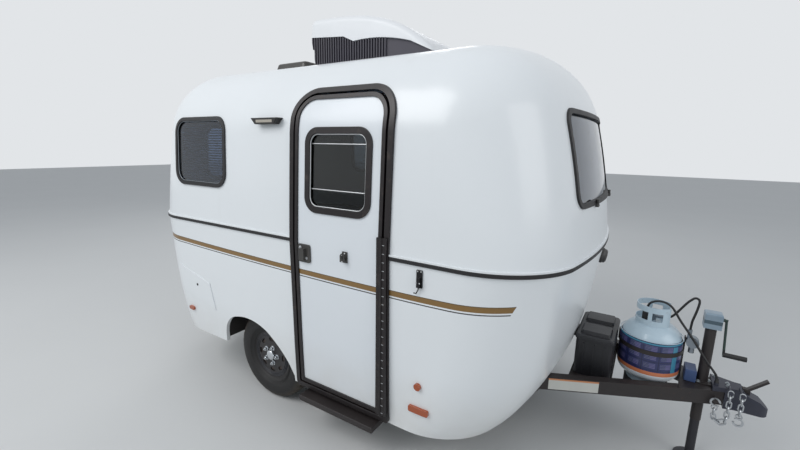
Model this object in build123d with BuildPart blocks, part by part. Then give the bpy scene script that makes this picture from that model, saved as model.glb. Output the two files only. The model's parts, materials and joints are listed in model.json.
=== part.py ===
from build123d import *
from collections import namedtuple
from math import cos, pi, radians, sin, tan
import os

# Moulded glass fibre travel trailer, parked on its wheels and its jack.
# Millimetres: X forward to the coupler, Y left, Z up from the ground, origin under the middle of the box.

os.makedirs("parts", exist_ok=True)

# Cabin
body_length = 3140
half_width = 1014
belt_height = 1184
wall = 24
roof_height = 2275
crown_radius = 3200
shoulder_radius = 480
front_bow = 150
rear_bow = 70
tongue_reach = 840
skirt_height = 258
rear_skirt_height = 335
skirt_step_behind_nose = 1640

# Belt moulding
band_proud = 9
band_height = 20
lip_proud = 7
lip_height = 9

# Door, measured behind the nose
door_front_behind_nose = 847
door_width = 684
door_height = 1766
door_top_radius = 165
door_foot_radius = 26
frame_band = 30
door_gap = 12
trim_band = 22
frame_proud = 14
panel_proud = 6
door_depth = 200
door_window_width = 448
door_window_height = 456
door_window_height_above_sill = 1328
door_window_radius = 86
door_window_band = 34

# Windows
window_band = 24
window_proud = 10
glass_setback = 5
glass_thickness = 6
side_window_width = 566
side_window_height = 456
side_window_radius = 100
side_window_middle = 1662
side_window_behind_nose = 2405
kitchen_window_width = 560
kitchen_window_height = 330
kitchen_window_behind_nose = 1190
kitchen_window_middle = 1700
front_window_width = 1180
front_window_height = 472
front_window_radius = 80
front_window_middle = 1678
rear_window_width = 1040
rear_window_height = 460
rear_window_middle = 1640
window_depth = 260

# Wheels and axle
tyre_radius = 305
tyre_width = 175
tyre_shoulder = 26
bead_radius = 166
track_half = 848
axle_behind_nose = 1872
rim_wall = 6
rim_width = 132
disc_thickness = 8
disc_inset = 25
lug_circle = 57.15
lug_count = 5
drum_radius = 120
drum_width = 52
spindle_radius = 16
spindle_clearance = 0.3
spindle_end_gap = 12
well_gap = 11
well_rear_reach = 420
well_height = 646
well_wall = 6

# Chassis
rail_width = 51
rail_height = 76
tongue_rail_top = 478
rail_spread = 560
rail_slope = 0.466
rail_end_ahead = 640
rail_end_gap = 5
kink_behind_nose = 225
kink_length = 200
tunnel_clearance = 5
rear_rail_behind_nose = 3075
kick_behind_nose = 1730
kick_length = 70
axle_tube = 60
axle_tube_ahead = 70
arm_width = 24

# Tongue pieces, measured ahead of the nose
deck_thickness = 5
tray_top = 420
battery_ahead = 25
battery_size = (208, 400, 222)
battery_lid_height = 28
battery_cap_height = 18
battery_cap_size = (160, 140)
bottle_ahead = 294
bottle_radius = 155
bottle_shoulder = 256
bottle_top = 358
collar_radius = 90
collar_height = 122
collar_wall = 3.5
collar_gap = 100
collar_windows = ((-100, -30), (-10, 40))
bracket_thickness = 6
bracket_width = 30
gland_ahead = 612
gland_y = -45
gland_height = 14
cord_radius = 6
hose_radius = 6
jack_ahead = 556
jack_tube_radius = 25.5
jack_tube_wall = 2.7
jack_tube_low = 252
jack_clearance = 0.3
jack_head_height = 85
jack_head_top = 886
ball_radius = 25.4
ball_clearance = 0.25
socket_depth = 42
coupler_width = 78
coupler_tail_width = 150
coupler_bottom = 384
coupler_plate = 25

# Step under the door
step_length = 540
step_width = 190
step_thickness = 34
step_proud = 46
runner_width = 44
runner_height = 20
arm_thickness = 30
seat_gap = 0.3

# Roof pieces
cooler_length = 990
cooler_width = 690
cooler_height = 312
cooler_tail_behind_nose = 2000
vent_size = 380
vent_behind_nose = 2387
vent_base_proud = 22
lid_height = 72
lid_rounding = 26
lid_corner = 60
lid_taper = 20
vent_hinge_length = 240
vent_hinge_radius = 7
vent_pin_radius = 3

# Places worked out from the sizes above
body_tail = (band_proud - body_length - tongue_reach) / 2
body_nose = body_tail + body_length
axle_x = body_nose - axle_behind_nose
skirt_step_x = body_nose - skirt_step_behind_nose
door_front = body_nose - door_front_behind_nose
door_x = door_front - door_width / 2
door_sill = skirt_height
door_middle = door_sill + door_height / 2
deck_top = tongue_rail_top + deck_thickness
coupler_top = tongue_rail_top + coupler_plate


def save(part, label):
    """Labels a finished part and writes it as one node"""
    part.label = label
    export_step(part, f"parts/{label}.step")


def block(x, y, z, mode=Mode.ADD):
    """Box between two limits along each axis"""
    middle = tuple((low + high) / 2 for low, high in (x, y, z))
    with Locations(middle):
        Box(*(high - low for low, high in (x, y, z)), mode=mode)


def bar(start, end, width, height, mode=Mode.ADD):
    """Square bar between two points, its width level"""
    run = Vector(*end) - Vector(*start)
    across = Plane(origin=start, x_dir=(-run.Y, run.X, 0), z_dir=run)
    with BuildSketch(across) as section:
        Rectangle(width, height)
    extrude(section.sketch, amount=run.length, mode=mode)


def rod(start, end, radius, mode=Mode.ADD):
    """Round bar between two points"""
    run = Vector(*end) - Vector(*start)
    with BuildSketch(Plane(origin=start, z_dir=run)) as section:
        Circle(radius)
    extrude(section.sketch, amount=run.length, mode=mode)


# Cabin form: each row is a height, then how far side, nose and tail have come in there, and the corners
Row = namedtuple("Row", "z side nose tail nose_corner tail_corner")
upper_rows = (
    Row(belt_height, 0, 0, 0, 430, 400),
    Row(belt_height + 450, 22, 65, 25, 480, 450),
    Row(roof_height + 55, 66, 265, 110, 560, 540),
)
lower_rows = (
    Row(skirt_height, 22, 285, 220, 400, 380),
    Row(skirt_height + 262, 12, 125, 90, 430, 400),
    Row(belt_height - 324, 5, 50, 30, 430, 400),
    Row(belt_height, 0, 0, 0, 430, 400),
)


def outline(row, grow, height):
    """Plan outline of the cabin at a row, grown outwards"""
    half = half_width - row.side + grow
    nose = body_nose - row.nose + grow
    tail = body_tail + row.tail - grow
    with BuildSketch(Plane.XY.offset(height)) as plan:
        with BuildLine():
            Line((tail + rear_bow, -half), (nose - front_bow, -half))
            ThreePointArc((nose - front_bow, -half), (nose, 0), (nose - front_bow, half))
            Line((nose - front_bow, half), (tail + rear_bow, half))
            ThreePointArc((tail + rear_bow, half), (tail, 0), (tail + rear_bow, -half))
        make_face()
        fillet(plan.vertices().group_by(Axis.X)[-1], row.nose_corner + grow)
        fillet(plan.vertices().group_by(Axis.X)[0], row.tail_corner + grow)
    return plan.sketch


def upper_form(grow):
    """Cabin above the belt, solid, grown outwards"""
    reach = half_width + 2 * wall
    crown = crown_radius + grow
    drop = crown - (crown**2 - reach**2) ** 0.5
    with BuildPart() as form:
        for row in upper_rows:
            add(outline(row, grow, row.z))
        loft()
        with BuildSketch(Plane.YZ.offset(body_tail - reach)):
            with BuildLine():
                Polyline(
                    (reach, roof_height + grow - drop),
                    (reach, 0),
                    (-reach, 0),
                    (-reach, roof_height + grow - drop),
                )
                ThreePointArc(
                    (-reach, roof_height + grow - drop),
                    (0, roof_height + grow),
                    (reach, roof_height + grow - drop),
                )
            make_face()
        extrude(amount=body_length + 2 * reach, mode=Mode.INTERSECT)
        fillet(form.faces().sort_by(Axis.Z)[-1].edges(), shoulder_radius + grow)
    return form.part


def lower_form(grow):
    """Cabin below the belt, solid, with the higher skirt behind the wheels, grown outwards"""
    reach = half_width + 2 * wall
    with BuildPart() as form:
        for row in lower_rows:
            add(outline(row, grow, row.z - grow if row.z == skirt_height else row.z))
        loft()
        block(
            (body_tail - reach, skirt_step_x - grow),
            (-reach, reach),
            (0, rear_skirt_height - grow),
            mode=Mode.SUBTRACT,
        )
    return form.part


def cabin_form(grow):
    """Whole cabin, solid, grown outwards"""
    halves = (upper_form(grow), lower_form(grow))
    with BuildPart() as form:
        add(halves)
    return form.part


def skin(outer, inner):
    """Layer between two grown cabins"""
    with BuildPart() as layer:
        add(outer)
        add(inner, mode=Mode.SUBTRACT)
    return layer.part


def facing(direction, x, y, z):
    """Upright plane that looks along a direction, its own Y upwards"""
    out = Vector(*direction)
    return Plane(origin=(x, y, z), x_dir=(-out.Y, out.X, 0), z_dir=out)


def port(plane, width, height, radius, depth):
    """Prism of a rounded opening, from the plane outwards"""
    with BuildSketch(plane) as face:
        RectangleRounded(width, height, radius)
    return extrude(face.sketch, amount=depth, mode=Mode.PRIVATE)


def door_port(inset):
    """Prism of the door's outline, drawn in by an inset"""
    width = door_width - 2 * inset
    height = door_height - 2 * inset
    with BuildSketch(facing((0, -1, 0), door_x, -half_width + door_depth, door_middle)) as face:
        Rectangle(width, height)
        fillet(face.vertices().group_by(Axis.Y)[-1], door_top_radius - inset)
        foot_radius = max(door_foot_radius - inset, door_foot_radius / 4)
        fillet(face.vertices().group_by(Axis.Y)[0], foot_radius)
    return extrude(face.sketch, amount=2 * door_depth, mode=Mode.PRIVATE)


# Solid forms, and the layers that frames, glass and wall fittings are cut from
body = cabin_form(0)
cavity = cabin_form(-wall)
frame_cover = cabin_form(frame_proud)
panel_cover = cabin_form(panel_proud)
frame_skin = skin(frame_cover, cavity)
panel_skin = skin(panel_cover, cavity)
window_skin = skin(cabin_form(window_proud), cavity)
glass_skin = skin(cabin_form(-glass_setback), cabin_form(-glass_setback - glass_thickness))
fitting_skin = skin(frame_cover, body)
trim_skin = skin(panel_cover, body)

# Windows: name, facing, middle, width, height, corner
Window = namedtuple("Window", "name direction x y z width height corner")
side_x = body_nose - side_window_behind_nose
kitchen_x = body_nose - kitchen_window_behind_nose
wide_inner = half_width - window_depth
windows = (
    Window("side", (0, -1, 0), side_x, -wide_inner, side_window_middle,
           side_window_width, side_window_height, side_window_radius),
    Window("side", (0, 1, 0), side_x, wide_inner, side_window_middle,
           side_window_width, side_window_height, side_window_radius),
    Window("side", (0, 1, 0), kitchen_x, wide_inner, kitchen_window_middle,
           kitchen_window_width, kitchen_window_height, side_window_radius),
    Window("front", (1, 0, 0), body_nose - window_depth - front_bow, 0, front_window_middle,
           front_window_width, front_window_height, front_window_radius),
    Window("rear", (-1, 0, 0), body_tail + window_depth + rear_bow, 0, rear_window_middle,
           rear_window_width, rear_window_height, side_window_radius),
)


def window_port(window, inset):
    """Prism of one window's outline, drawn in by an inset"""
    plane = facing(window.direction, window.x, window.y, window.z)
    width = window.width - 2 * inset
    height = window.height - 2 * inset
    return port(plane, width, height, window.corner - inset, 2 * window_depth + front_bow)


outer_ports = [window_port(window, 0) for window in windows]
pane_ports = [window_port(window, window_band) for window in windows]
with BuildPart() as window_frames:
    add(outer_ports)
    add(pane_ports, mode=Mode.SUBTRACT)
    add(window_skin, mode=Mode.INTERSECT)
save(window_frames.part, "window_frames")

with BuildPart() as window_glass:
    add(pane_ports)
    add(glass_skin, mode=Mode.INTERSECT)
save(window_glass.part, "window_glass")

# Door: a fixed frame, then a leaf with its trim, panel, window, latch and hinge
door_window_z = door_sill + door_window_height_above_sill
door_window_plane = facing((0, -1, 0), door_x, -half_width + door_depth, door_window_z)


def door_window_port(inset):
    """Prism of the door window's outline, drawn in by an inset"""
    return port(
        door_window_plane,
        door_window_width - 2 * inset,
        door_window_height - 2 * inset,
        door_window_radius - inset,
        2 * door_depth,
    )


leaf_inset = frame_band + door_gap
panel_inset = leaf_inset + trim_band
door_opening = door_port(0)
frame_hole = door_port(frame_band)
leaf = door_port(leaf_inset)
panel = door_port(panel_inset)
window_hole = door_window_port(0)
window_pane = door_window_port(door_window_band)

with BuildPart() as door_frame:
    add(door_opening)
    add(frame_hole, mode=Mode.SUBTRACT)
    add(frame_skin, mode=Mode.INTERSECT)
save(door_frame.part, "door_frame")

with BuildPart() as door_trim:
    add(leaf)
    add(panel, mode=Mode.SUBTRACT)
    add(window_hole)
    add(window_pane, mode=Mode.SUBTRACT)
    add(frame_skin, mode=Mode.INTERSECT)
save(door_trim.part, "door_trim")

with BuildPart() as door_panel:
    add(panel)
    add(window_hole, mode=Mode.SUBTRACT)
    add(panel_skin, mode=Mode.INTERSECT)
save(door_panel.part, "door_panel")

with BuildPart() as door_glass:
    add(window_pane)
    add(glass_skin, mode=Mode.INTERSECT)
save(door_glass.part, "door_glass")

# Hinge: two leaves with knuckles in turn on one upright pin
knuckle_radius = 6
pin_radius = 3
hinge_clearance = 0.3
hinge_x = door_front - frame_band - door_gap / 2
hinge_y = -half_width - frame_proud - knuckle_radius - 1
hinge_low = door_sill + 60
hinge_high = belt_height + 100
knuckle_count = 11
leaf_width = 24
knuckle_pitch = (hinge_high - hinge_low) / knuckle_count


def hinge_leaf(sign, first):
    """One leaf on its side of the pin, with every second knuckle from the first"""
    near = hinge_x + sign * door_gap / 2
    far = near + sign * leaf_width
    with BuildPart() as leaf:
        block(
            (min(near, far), max(near, far)),
            (hinge_y, -half_width + wall),
            (hinge_low, hinge_high),
        )
        for index in range(first, knuckle_count, 2):
            low = hinge_low + index * knuckle_pitch + hinge_clearance
            high = low + knuckle_pitch - 2 * hinge_clearance
            rod((hinge_x, hinge_y, low), (hinge_x, hinge_y, high), knuckle_radius)
            block(
                (min(hinge_x, near), max(hinge_x, near)),
                (hinge_y, hinge_y + pin_radius),
                (low, high),
            )
        add(frame_cover, mode=Mode.SUBTRACT)
    return leaf.part


fixed_leaf = hinge_leaf(1, 0)
swinging_leaf = hinge_leaf(-1, 1)
with BuildPart() as frame_hinge:
    add(fixed_leaf)
    rod((hinge_x, hinge_y, hinge_low), (hinge_x, hinge_y, hinge_high), pin_radius)
save(frame_hinge.part, "frame_hinge")

with BuildPart() as door_hinge:
    add(swinging_leaf)
    rod(
        (hinge_x, hinge_y, hinge_low - 1),
        (hinge_x, hinge_y, hinge_high + 1),
        pin_radius + hinge_clearance,
        mode=Mode.SUBTRACT,
    )
save(door_hinge.part, "door_hinge")

# Latch plate with its paddle, and the hold-back hook and its catch
latch_size = (92, 104)
latch_plate = 8
latch_x = door_x - door_width / 2 + panel_inset + latch_size[0] / 2 + 4
latch_z = 1121
paddle_proud = 26
hook_x = door_x + 66
hook_z = 1145
hook_size = (34, 60)
hook_proud = 20
with BuildPart() as door_fittings:
    with BuildSketch(facing((0, -1, 0), latch_x, -half_width + wall, latch_z)):
        RectangleRounded(latch_size[0], latch_size[1], 12)
    extrude(amount=wall + panel_proud + latch_plate)
    block(
        (latch_x - 22, latch_x + 14),
        (-half_width - panel_proud - paddle_proud, -half_width),
        (latch_z - 36, latch_z + 30),
    )
    block(
        (hook_x - hook_size[0] / 2, hook_x + hook_size[0] / 2),
        (-half_width - panel_proud - 5, -half_width),
        (hook_z - hook_size[1] / 2, hook_z + hook_size[1] / 2),
    )
    rod(
        (hook_x, -half_width, hook_z - 8),
        (hook_x, -half_width - panel_proud - hook_proud, hook_z - 8),
        5,
    )
    block(
        (hook_x - 16, hook_x + 12),
        (-half_width - panel_proud - hook_proud - 6, -half_width - panel_proud - hook_proud),
        (hook_z - 22, hook_z + 14),
    )
    add(panel_cover, mode=Mode.SUBTRACT)
save(door_fittings.part, "door_fittings")

catch_x = door_front + 172
catch_z = 1112
with BuildPart() as holdback_catch:
    block(
        (catch_x - 16, catch_x + 16),
        (-half_width - 6, -half_width + wall),
        (catch_z - 44, catch_z + 44),
    )
    block(
        (catch_x - 9, catch_x + 9),
        (-half_width - 20, -half_width),
        (catch_z - 40, catch_z + 10),
    )
    add(body, mode=Mode.SUBTRACT)
    band_edge = belt_height - band_height / 2
    block(
        (catch_x - 30, catch_x + 30),
        (-half_width - 40, -half_width + wall),
        (band_edge - 1, band_edge + 80),
        mode=Mode.SUBTRACT,
    )
save(holdback_catch.part, "holdback_catch")

# Chassis path of the right rail: place along X, out from the middle, height of the rail's middle
rail_z = tongue_rail_top - rail_height / 2
low_rail_z = skirt_height - rail_height / 2
rear_rail_z = rear_skirt_height - rail_height / 2
rail_end_x = body_nose + rail_end_ahead
rail_across = rail_width / 2 * (1 + rail_slope**2) ** 0.5
rail_end_y = rail_across + rail_end_gap / 2
kink_x = body_nose - kink_behind_nose
kink_y = rail_end_y + rail_slope * (rail_end_x - kink_x)
low_x = kink_x - kink_length
low_y = kink_y + rail_slope * kink_length
straight_x = low_x - (rail_spread - low_y) / rail_slope
kick_x = body_nose - kick_behind_nose
rail_tail_x = body_nose - rear_rail_behind_nose
rail_path = (
    (rail_end_x, rail_end_y, rail_z),
    (kink_x, kink_y, rail_z),
    (low_x, low_y, low_rail_z),
    (straight_x, rail_spread, low_rail_z),
    (kick_x + kick_length, rail_spread, low_rail_z),
    (kick_x, rail_spread, rear_rail_z),
    (rail_tail_x, rail_spread, rear_rail_z),
)


def rail_y(x):
    """How far the middle of a tongue rail stands from the trailer's middle at a place along X"""
    return rail_end_y + rail_slope * (rail_end_x - x)


def rails(path, extra, mode=Mode.ADD):
    """Both rails along a path, thicker by an extra on each side, each joint lapped by half a width"""
    for side in (-1, 1):
        for start, end in zip(path, path[1:]):
            start = Vector(start[0], side * start[1], start[2])
            end = Vector(end[0], side * end[1], end[2])
            lap = (end - start).normalized() * (rail_width / 4)
            first = start if start.X == rail_end_x else start - lap
            last = end if end.X == rail_tail_x else end + lap
            bar(tuple(first), tuple(last), rail_width + 2 * extra, rail_height + 2 * extra, mode)


# Wheel wells: the box that the lower shell and the floor leave free on each side
well_rear = axle_x - well_rear_reach
well_front = axle_x + tyre_radius + well_gap + well_wall
well_inner = track_half - tyre_width / 2 - 6 * well_gap
well_outer = half_width - wall - 20

# Wheel arch from its rear foot over the wheel to its front foot: place from the axle, height
ArchPoint = namedtuple("ArchPoint", "ahead z")
arch_points = (
    ArchPoint(-372, skirt_height - wall),
    ArchPoint(-366, 391),
    ArchPoint(-326, 502),
    ArchPoint(-230, 558),
    ArchPoint(-93, 574),
    ArchPoint(72, 530),
    ArchPoint(176, 455),
    ArchPoint(264, 364),
    ArchPoint(309, 292),
    ArchPoint(311, skirt_height - wall),
)


def arch_port(side):
    """Prism of the wheel arch's opening on one side"""
    corners = [(axle_x + point.ahead, point.z) for point in arch_points]
    with BuildSketch(Plane.XZ.offset(-side * (half_width + wall))) as face:
        with BuildLine():
            Line(corners[0], corners[1])
            for first in (1, 3, 5):
                ThreePointArc(*corners[first : first + 3])
            Polyline(*corners[7:], corners[0])
        make_face()
    return extrude(face.sketch, amount=side * 5 * wall, mode=Mode.PRIVATE)


# Number plate and its two bolt holes through the tail
plate_z = 760
plate_size = (305, 152)
plate_bolts = 178
plate_bolt_z = 62
plate_bolt_radius = 3.5


def plate_holes():
    """Cuts the number plate's two bolt holes"""
    for side in (-1, 1):
        rod(
            (body_tail - 2 * wall, side * plate_bolts / 2, plate_z + plate_bolt_z),
            (body_tail + 6 * wall, side * plate_bolts / 2, plate_z + plate_bolt_z),
            plate_bolt_radius,
            mode=Mode.SUBTRACT,
        )


with BuildPart() as upper_shell:
    block(
        (body_tail - wall, body_nose + wall),
        (-half_width - wall, half_width + wall),
        (belt_height, roof_height + 2 * wall),
    )
    add(body, mode=Mode.INTERSECT)
    add(cavity, mode=Mode.SUBTRACT)
    add(outline(upper_rows[0], lip_proud, belt_height + band_height / 2))
    extrude(amount=lip_height)
    add(cavity, mode=Mode.SUBTRACT)
    for window in windows:
        add(window_port(window, 0), mode=Mode.SUBTRACT)
    add(door_opening, mode=Mode.SUBTRACT)
save(upper_shell.part, "upper_shell")

with BuildPart() as lower_shell:
    block(
        (body_tail - wall, body_nose + wall),
        (-half_width - wall, half_width + wall),
        (0, belt_height),
    )
    add(body, mode=Mode.INTERSECT)
    add(cavity, mode=Mode.SUBTRACT)
    rails(rail_path[:4], tunnel_clearance + wall / 2)
    add(body, mode=Mode.INTERSECT)
    rails(rail_path[:4], tunnel_clearance, mode=Mode.SUBTRACT)
    for side in (-1, 1):
        add(arch_port(side), mode=Mode.SUBTRACT)
        y_range = sorted((side * well_inner, side * well_outer))
        block((well_rear, well_front), y_range, (0, well_height), mode=Mode.SUBTRACT)
    add(door_opening, mode=Mode.SUBTRACT)
    plate_holes()
save(lower_shell.part, "lower_shell")

with BuildPart() as wheel_wells:
    for side in (-1, 1):
        y_range = sorted((side * well_inner, side * well_outer))
        hollow = sorted((side * (well_inner + well_wall), side * (well_outer + well_wall)))
        block((well_rear, well_front), y_range, (rear_skirt_height, well_height))
        block(
            (well_rear + well_wall, well_front - well_wall),
            hollow,
            (0, well_height - well_wall),
            mode=Mode.SUBTRACT,
        )
save(wheel_wells.part, "wheel_wells")

# Belt moulding round the join, stopped by the door frame
with BuildPart() as belt_moulding:
    add(outline(upper_rows[0], band_proud, belt_height - band_height / 2))
    extrude(amount=band_height)
    add(body, mode=Mode.SUBTRACT)
    add(door_opening, mode=Mode.SUBTRACT)
save(belt_moulding.part, "belt_moulding")

# Inside: floor boards, benches, table and kitchen
floor_top = skirt_height + wall + 10
raised_top = rear_skirt_height + wall + 10
with BuildPart() as cabin_floor:
    block(
        (skirt_step_x + wall, body_nose),
        (-half_width, half_width),
        (skirt_height + wall, floor_top),
    )
    block(
        (body_tail, skirt_step_x + wall),
        (-half_width, half_width),
        (rear_skirt_height + wall, raised_top),
    )
    add(cavity, mode=Mode.INTERSECT)
    for side in (-1, 1):
        y_range = sorted((side * (well_inner - 1), side * half_width))
        block((well_rear - 1, well_front + 1), y_range, (0, well_height), mode=Mode.SUBTRACT)
    rails(rail_path[:4], tunnel_clearance + wall / 2, mode=Mode.SUBTRACT)
save(cabin_floor.part, "cabin_floor")

# Benches along both sides and one across the front, each open below and at the wall
bench_height = 360
bench_wall = 18
bench_inner = 430
bench_outer = 850
bench_x = (body_tail + 395, skirt_step_x - 20)
bench_top = raised_top + bench_height
front_bench_x = (body_nose - 680, body_nose - 425)
front_bench_y = (-640, 400)
front_bench_top = floor_top + bench_height
with BuildPart() as benches:
    for side in (-1, 1):
        block(bench_x, sorted((side * bench_inner, side * bench_outer)), (raised_top, bench_top))
        block(
            (bench_x[0] + bench_wall, bench_x[1] + bench_wall),
            sorted((side * (bench_inner + bench_wall), side * (bench_outer + bench_wall))),
            (0, bench_top - bench_wall),
            mode=Mode.SUBTRACT,
        )
    block(front_bench_x, front_bench_y, (floor_top, front_bench_top))
    block(
        (front_bench_x[0] + bench_wall, front_bench_x[1] + bench_wall),
        (front_bench_y[0] + bench_wall, front_bench_y[1] - bench_wall),
        (0, front_bench_top - bench_wall),
        mode=Mode.SUBTRACT,
    )
    rails(rail_path[:4], tunnel_clearance + wall, mode=Mode.SUBTRACT)
save(benches.part, "benches")

table_height = 690
table_board = 28
table_size = (700, 600)
table_x = body_tail + 820
table_top = raised_top + table_height
with BuildPart() as dinette_table:
    block(
        (table_x - table_size[0] / 2, table_x + table_size[0] / 2),
        (-table_size[1] / 2, table_size[1] / 2),
        (table_top, table_top + table_board),
    )
    rod((table_x, 0, raised_top), (table_x, 0, table_top), 32)
    rod((table_x, 0, raised_top), (table_x, 0, raised_top + 12), 110)
save(dinette_table.part, "dinette_table")

kitchen_depth = 430
kitchen_height = 860
kitchen_x_range = (well_front + 8, kitchen_x + 420)
kitchen_back = 880
with BuildPart() as kitchen_unit:
    block(
        kitchen_x_range,
        (kitchen_back - kitchen_depth, kitchen_back),
        (floor_top, floor_top + kitchen_height),
    )
    block(
        (kitchen_x_range[0] + bench_wall, kitchen_x_range[1] - bench_wall),
        (kitchen_back - kitchen_depth + bench_wall, kitchen_back - bench_wall),
        (0, floor_top + kitchen_height - 2 * bench_wall),
        mode=Mode.SUBTRACT,
    )
save(kitchen_unit.part, "kitchen_unit")

# Safety chains of flat-sided links, each ending in a hook: the first doubles back to a stowing pin
link_wire = 7
link_width = 33
link_inner = 30
link_reach = (link_inner + link_wire) / 2
chain_pin_radius = 5
chain_pin_z = coupler_top + 0.7 * chain_pin_radius
chain_y = -100
hook_eye = 15
hook_inner = 15
hook_outer = 24
hook_middle = hook_eye + link_wire / 4 + hook_inner
Chain = namedtuple("Chain", "ahead headings")
chains = (
    Chain(668, (90, 90, 90, 90, 90, 80, 30, -30, -80, -90)),
    Chain(716, (90, 90, 90, 90)),
)


def link(plane):
    """One chain link round a plane's origin, its length along the plane's X"""
    with BuildSketch(plane) as ring:
        SlotOverall(link_inner + 2 * link_wire, link_width)
        RectangleRounded(link_inner, link_width - 2 * link_wire, link_wire / 4, mode=Mode.SUBTRACT)
    return extrude(ring.sketch, amount=link_wire, mode=Mode.PRIVATE)


def chain_hook(plane):
    """Hook with its eye at a plane's origin and its bow along the plane's X"""
    with BuildSketch(plane) as shape:
        Circle(hook_eye)
        with Locations((hook_middle, 0)):
            Circle(hook_outer)
            Circle(hook_inner, mode=Mode.SUBTRACT)
        with Locations((hook_middle - hook_inner / 2, hook_outer / 2)):
            Rectangle(hook_inner * 1.2, hook_outer, mode=Mode.SUBTRACT)
        Circle(hook_eye)
        RectangleRounded(2 * link_wire, link_width - 2 * link_wire, link_wire / 4, mode=Mode.SUBTRACT)
    return extrude(shape.sketch, amount=link_wire, mode=Mode.PRIVATE)


# Headings go down from level, towards the tail; two links stand as far apart as their turn needs
chain_pieces = []
chain_pins = []
stow_pins = []
level = Vector(0, 1, 0)
for chain in chains:
    chain_pins.append((body_nose + chain.ahead, chain_pin_z))
    pin_top = chain_pin_z + chain_pin_radius + seat_gap
    wire_end = Vector(body_nose + chain.ahead, chain_y, pin_top + link_wire / 2)
    before = chain.headings[0]
    for index, heading in enumerate(chain.headings):
        turn = radians(before - heading)
        halfway = radians((before + heading) / 2)
        slack = link_wire / 2 * (1 + cos(turn) + sin(turn)) / cos(turn / 2) + seat_gap
        along = Vector(-cos(radians(heading)), 0, -sin(radians(heading)))
        if index:
            wire_end = wire_end - Vector(-cos(halfway), 0, -sin(halfway)) * slack
        middle = wire_end + along * link_reach
        wire_end = middle + along * link_reach
        normal = along.cross(level) if index % 2 else level
        flat = Plane(origin=middle, x_dir=along, z_dir=normal)
        chain_pieces.append(link(flat.offset(-link_wire / 2)))
        before = heading
    eye = wire_end + along * (link_wire / 2 - seat_gap)
    flat = Plane(origin=eye, x_dir=along, z_dir=level)
    chain_pieces.append(chain_hook(flat.offset(-link_wire / 2)))
    hook_seat = eye + along * (hook_middle + hook_inner - chain_pin_radius - seat_gap)
    if along.Z > 0:
        stow_pins.append((hook_seat.X, hook_seat.Z))


def chain_pin(x, root_y, z):
    """Pin that a chain hangs on, with its head, out from a root inside the piece that carries it"""
    rod((x, -root_y, z), (x, chain_y - 2 * link_wire, z), chain_pin_radius)
    rod((x, chain_y - link_wire, z), (x, chain_y - 2 * link_wire, z), 2 * chain_pin_radius)


# Chassis with its cross tubes, the trays' bars, rear bumper tube and the stowed chain's pin
cross_tube = 51
tray_bar = 20
tray_bars_ahead = (-60, 100, 218, 370)
cross_places = (straight_x - 40, skirt_step_x + 140)
with BuildPart() as chassis:
    rails(rail_path, 0)
    for x in cross_places:
        block(
            (x - cross_tube / 2, x + cross_tube / 2),
            (-rail_spread, rail_spread),
            (low_rail_z - cross_tube / 2, low_rail_z + cross_tube / 2),
        )
    for x in (axle_x - 520, rail_tail_x + 20):
        block(
            (x - cross_tube / 2, x + cross_tube / 2),
            (-rail_spread - 60, rail_spread + 60),
            (rear_rail_z - cross_tube / 2, rear_rail_z + cross_tube / 2),
        )
    for ahead in tray_bars_ahead:
        x = body_nose + ahead
        block(
            (x - tray_bar / 2, x + tray_bar / 2),
            (-rail_y(x), rail_y(x)),
            (tongue_rail_top - rail_height, tray_top - deck_thickness),
        )
    for x, z in stow_pins:
        chain_pin(x, rail_y(x), z)
save(chassis.part, "chassis")

# Trays between the rails and a plate over them: where each starts and ends ahead of the nose, its top and edge
Plate = namedtuple("Plate", "tail_end nose_end top edge")
plates = (
    Plate(-88, 132, tray_top, -rail_across),
    Plate(186, 404, tray_top, -rail_across),
    Plate(446, 592, deck_top, rail_across),
)
jack_x = body_nose + jack_ahead
with BuildPart() as tongue_deck:
    for plate in plates:
        tail_x = body_nose + plate.tail_end
        nose_x = body_nose + plate.nose_end
        half_tail = rail_y(tail_x) + plate.edge
        half_nose = rail_y(nose_x) + plate.edge
        with BuildSketch(Plane.XY.offset(plate.top - deck_thickness)):
            with BuildLine():
                Polyline(
                    (tail_x, -half_tail),
                    (nose_x, -half_nose),
                    (nose_x, half_nose),
                    (tail_x, half_tail),
                    close=True,
                )
            make_face()
        extrude(amount=deck_thickness)
    rod(
        (jack_x, 0, tongue_rail_top - 1),
        (jack_x, 0, deck_top + 1),
        jack_tube_radius,
        mode=Mode.SUBTRACT,
    )
save(tongue_deck.part, "tongue_deck")

# Axle: torsion tube under the rails, trailing arms and spindles
tube_z = rear_skirt_height - rail_height - axle_tube / 2
tube_x = axle_x + axle_tube_ahead
arm_y = track_half - tyre_width / 2 - arm_width - 14
disc_y = track_half + tyre_width / 2 - disc_inset
spindle_end = disc_y - disc_thickness - spindle_end_gap
with BuildPart() as axle:
    block(
        (tube_x - axle_tube / 2, tube_x + axle_tube / 2),
        (-arm_y, arm_y),
        (tube_z - axle_tube / 2, tube_z + axle_tube / 2),
    )
    for side in (-1, 1):
        inner = side * arm_y
        outer = side * (arm_y + arm_width)
        middle = (inner + outer) / 2
        bar((tube_x, middle, tube_z), (axle_x, middle, tyre_radius), arm_width, axle_tube)
        rod((tube_x, inner, tube_z), (tube_x, outer, tube_z), axle_tube / 2)
        rod((axle_x, inner, tyre_radius), (axle_x, outer, tyre_radius), axle_tube / 2)
        rod((axle_x, outer, tyre_radius), (axle_x, side * spindle_end, tyre_radius), spindle_radius)
save(axle.part, "axle")

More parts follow.
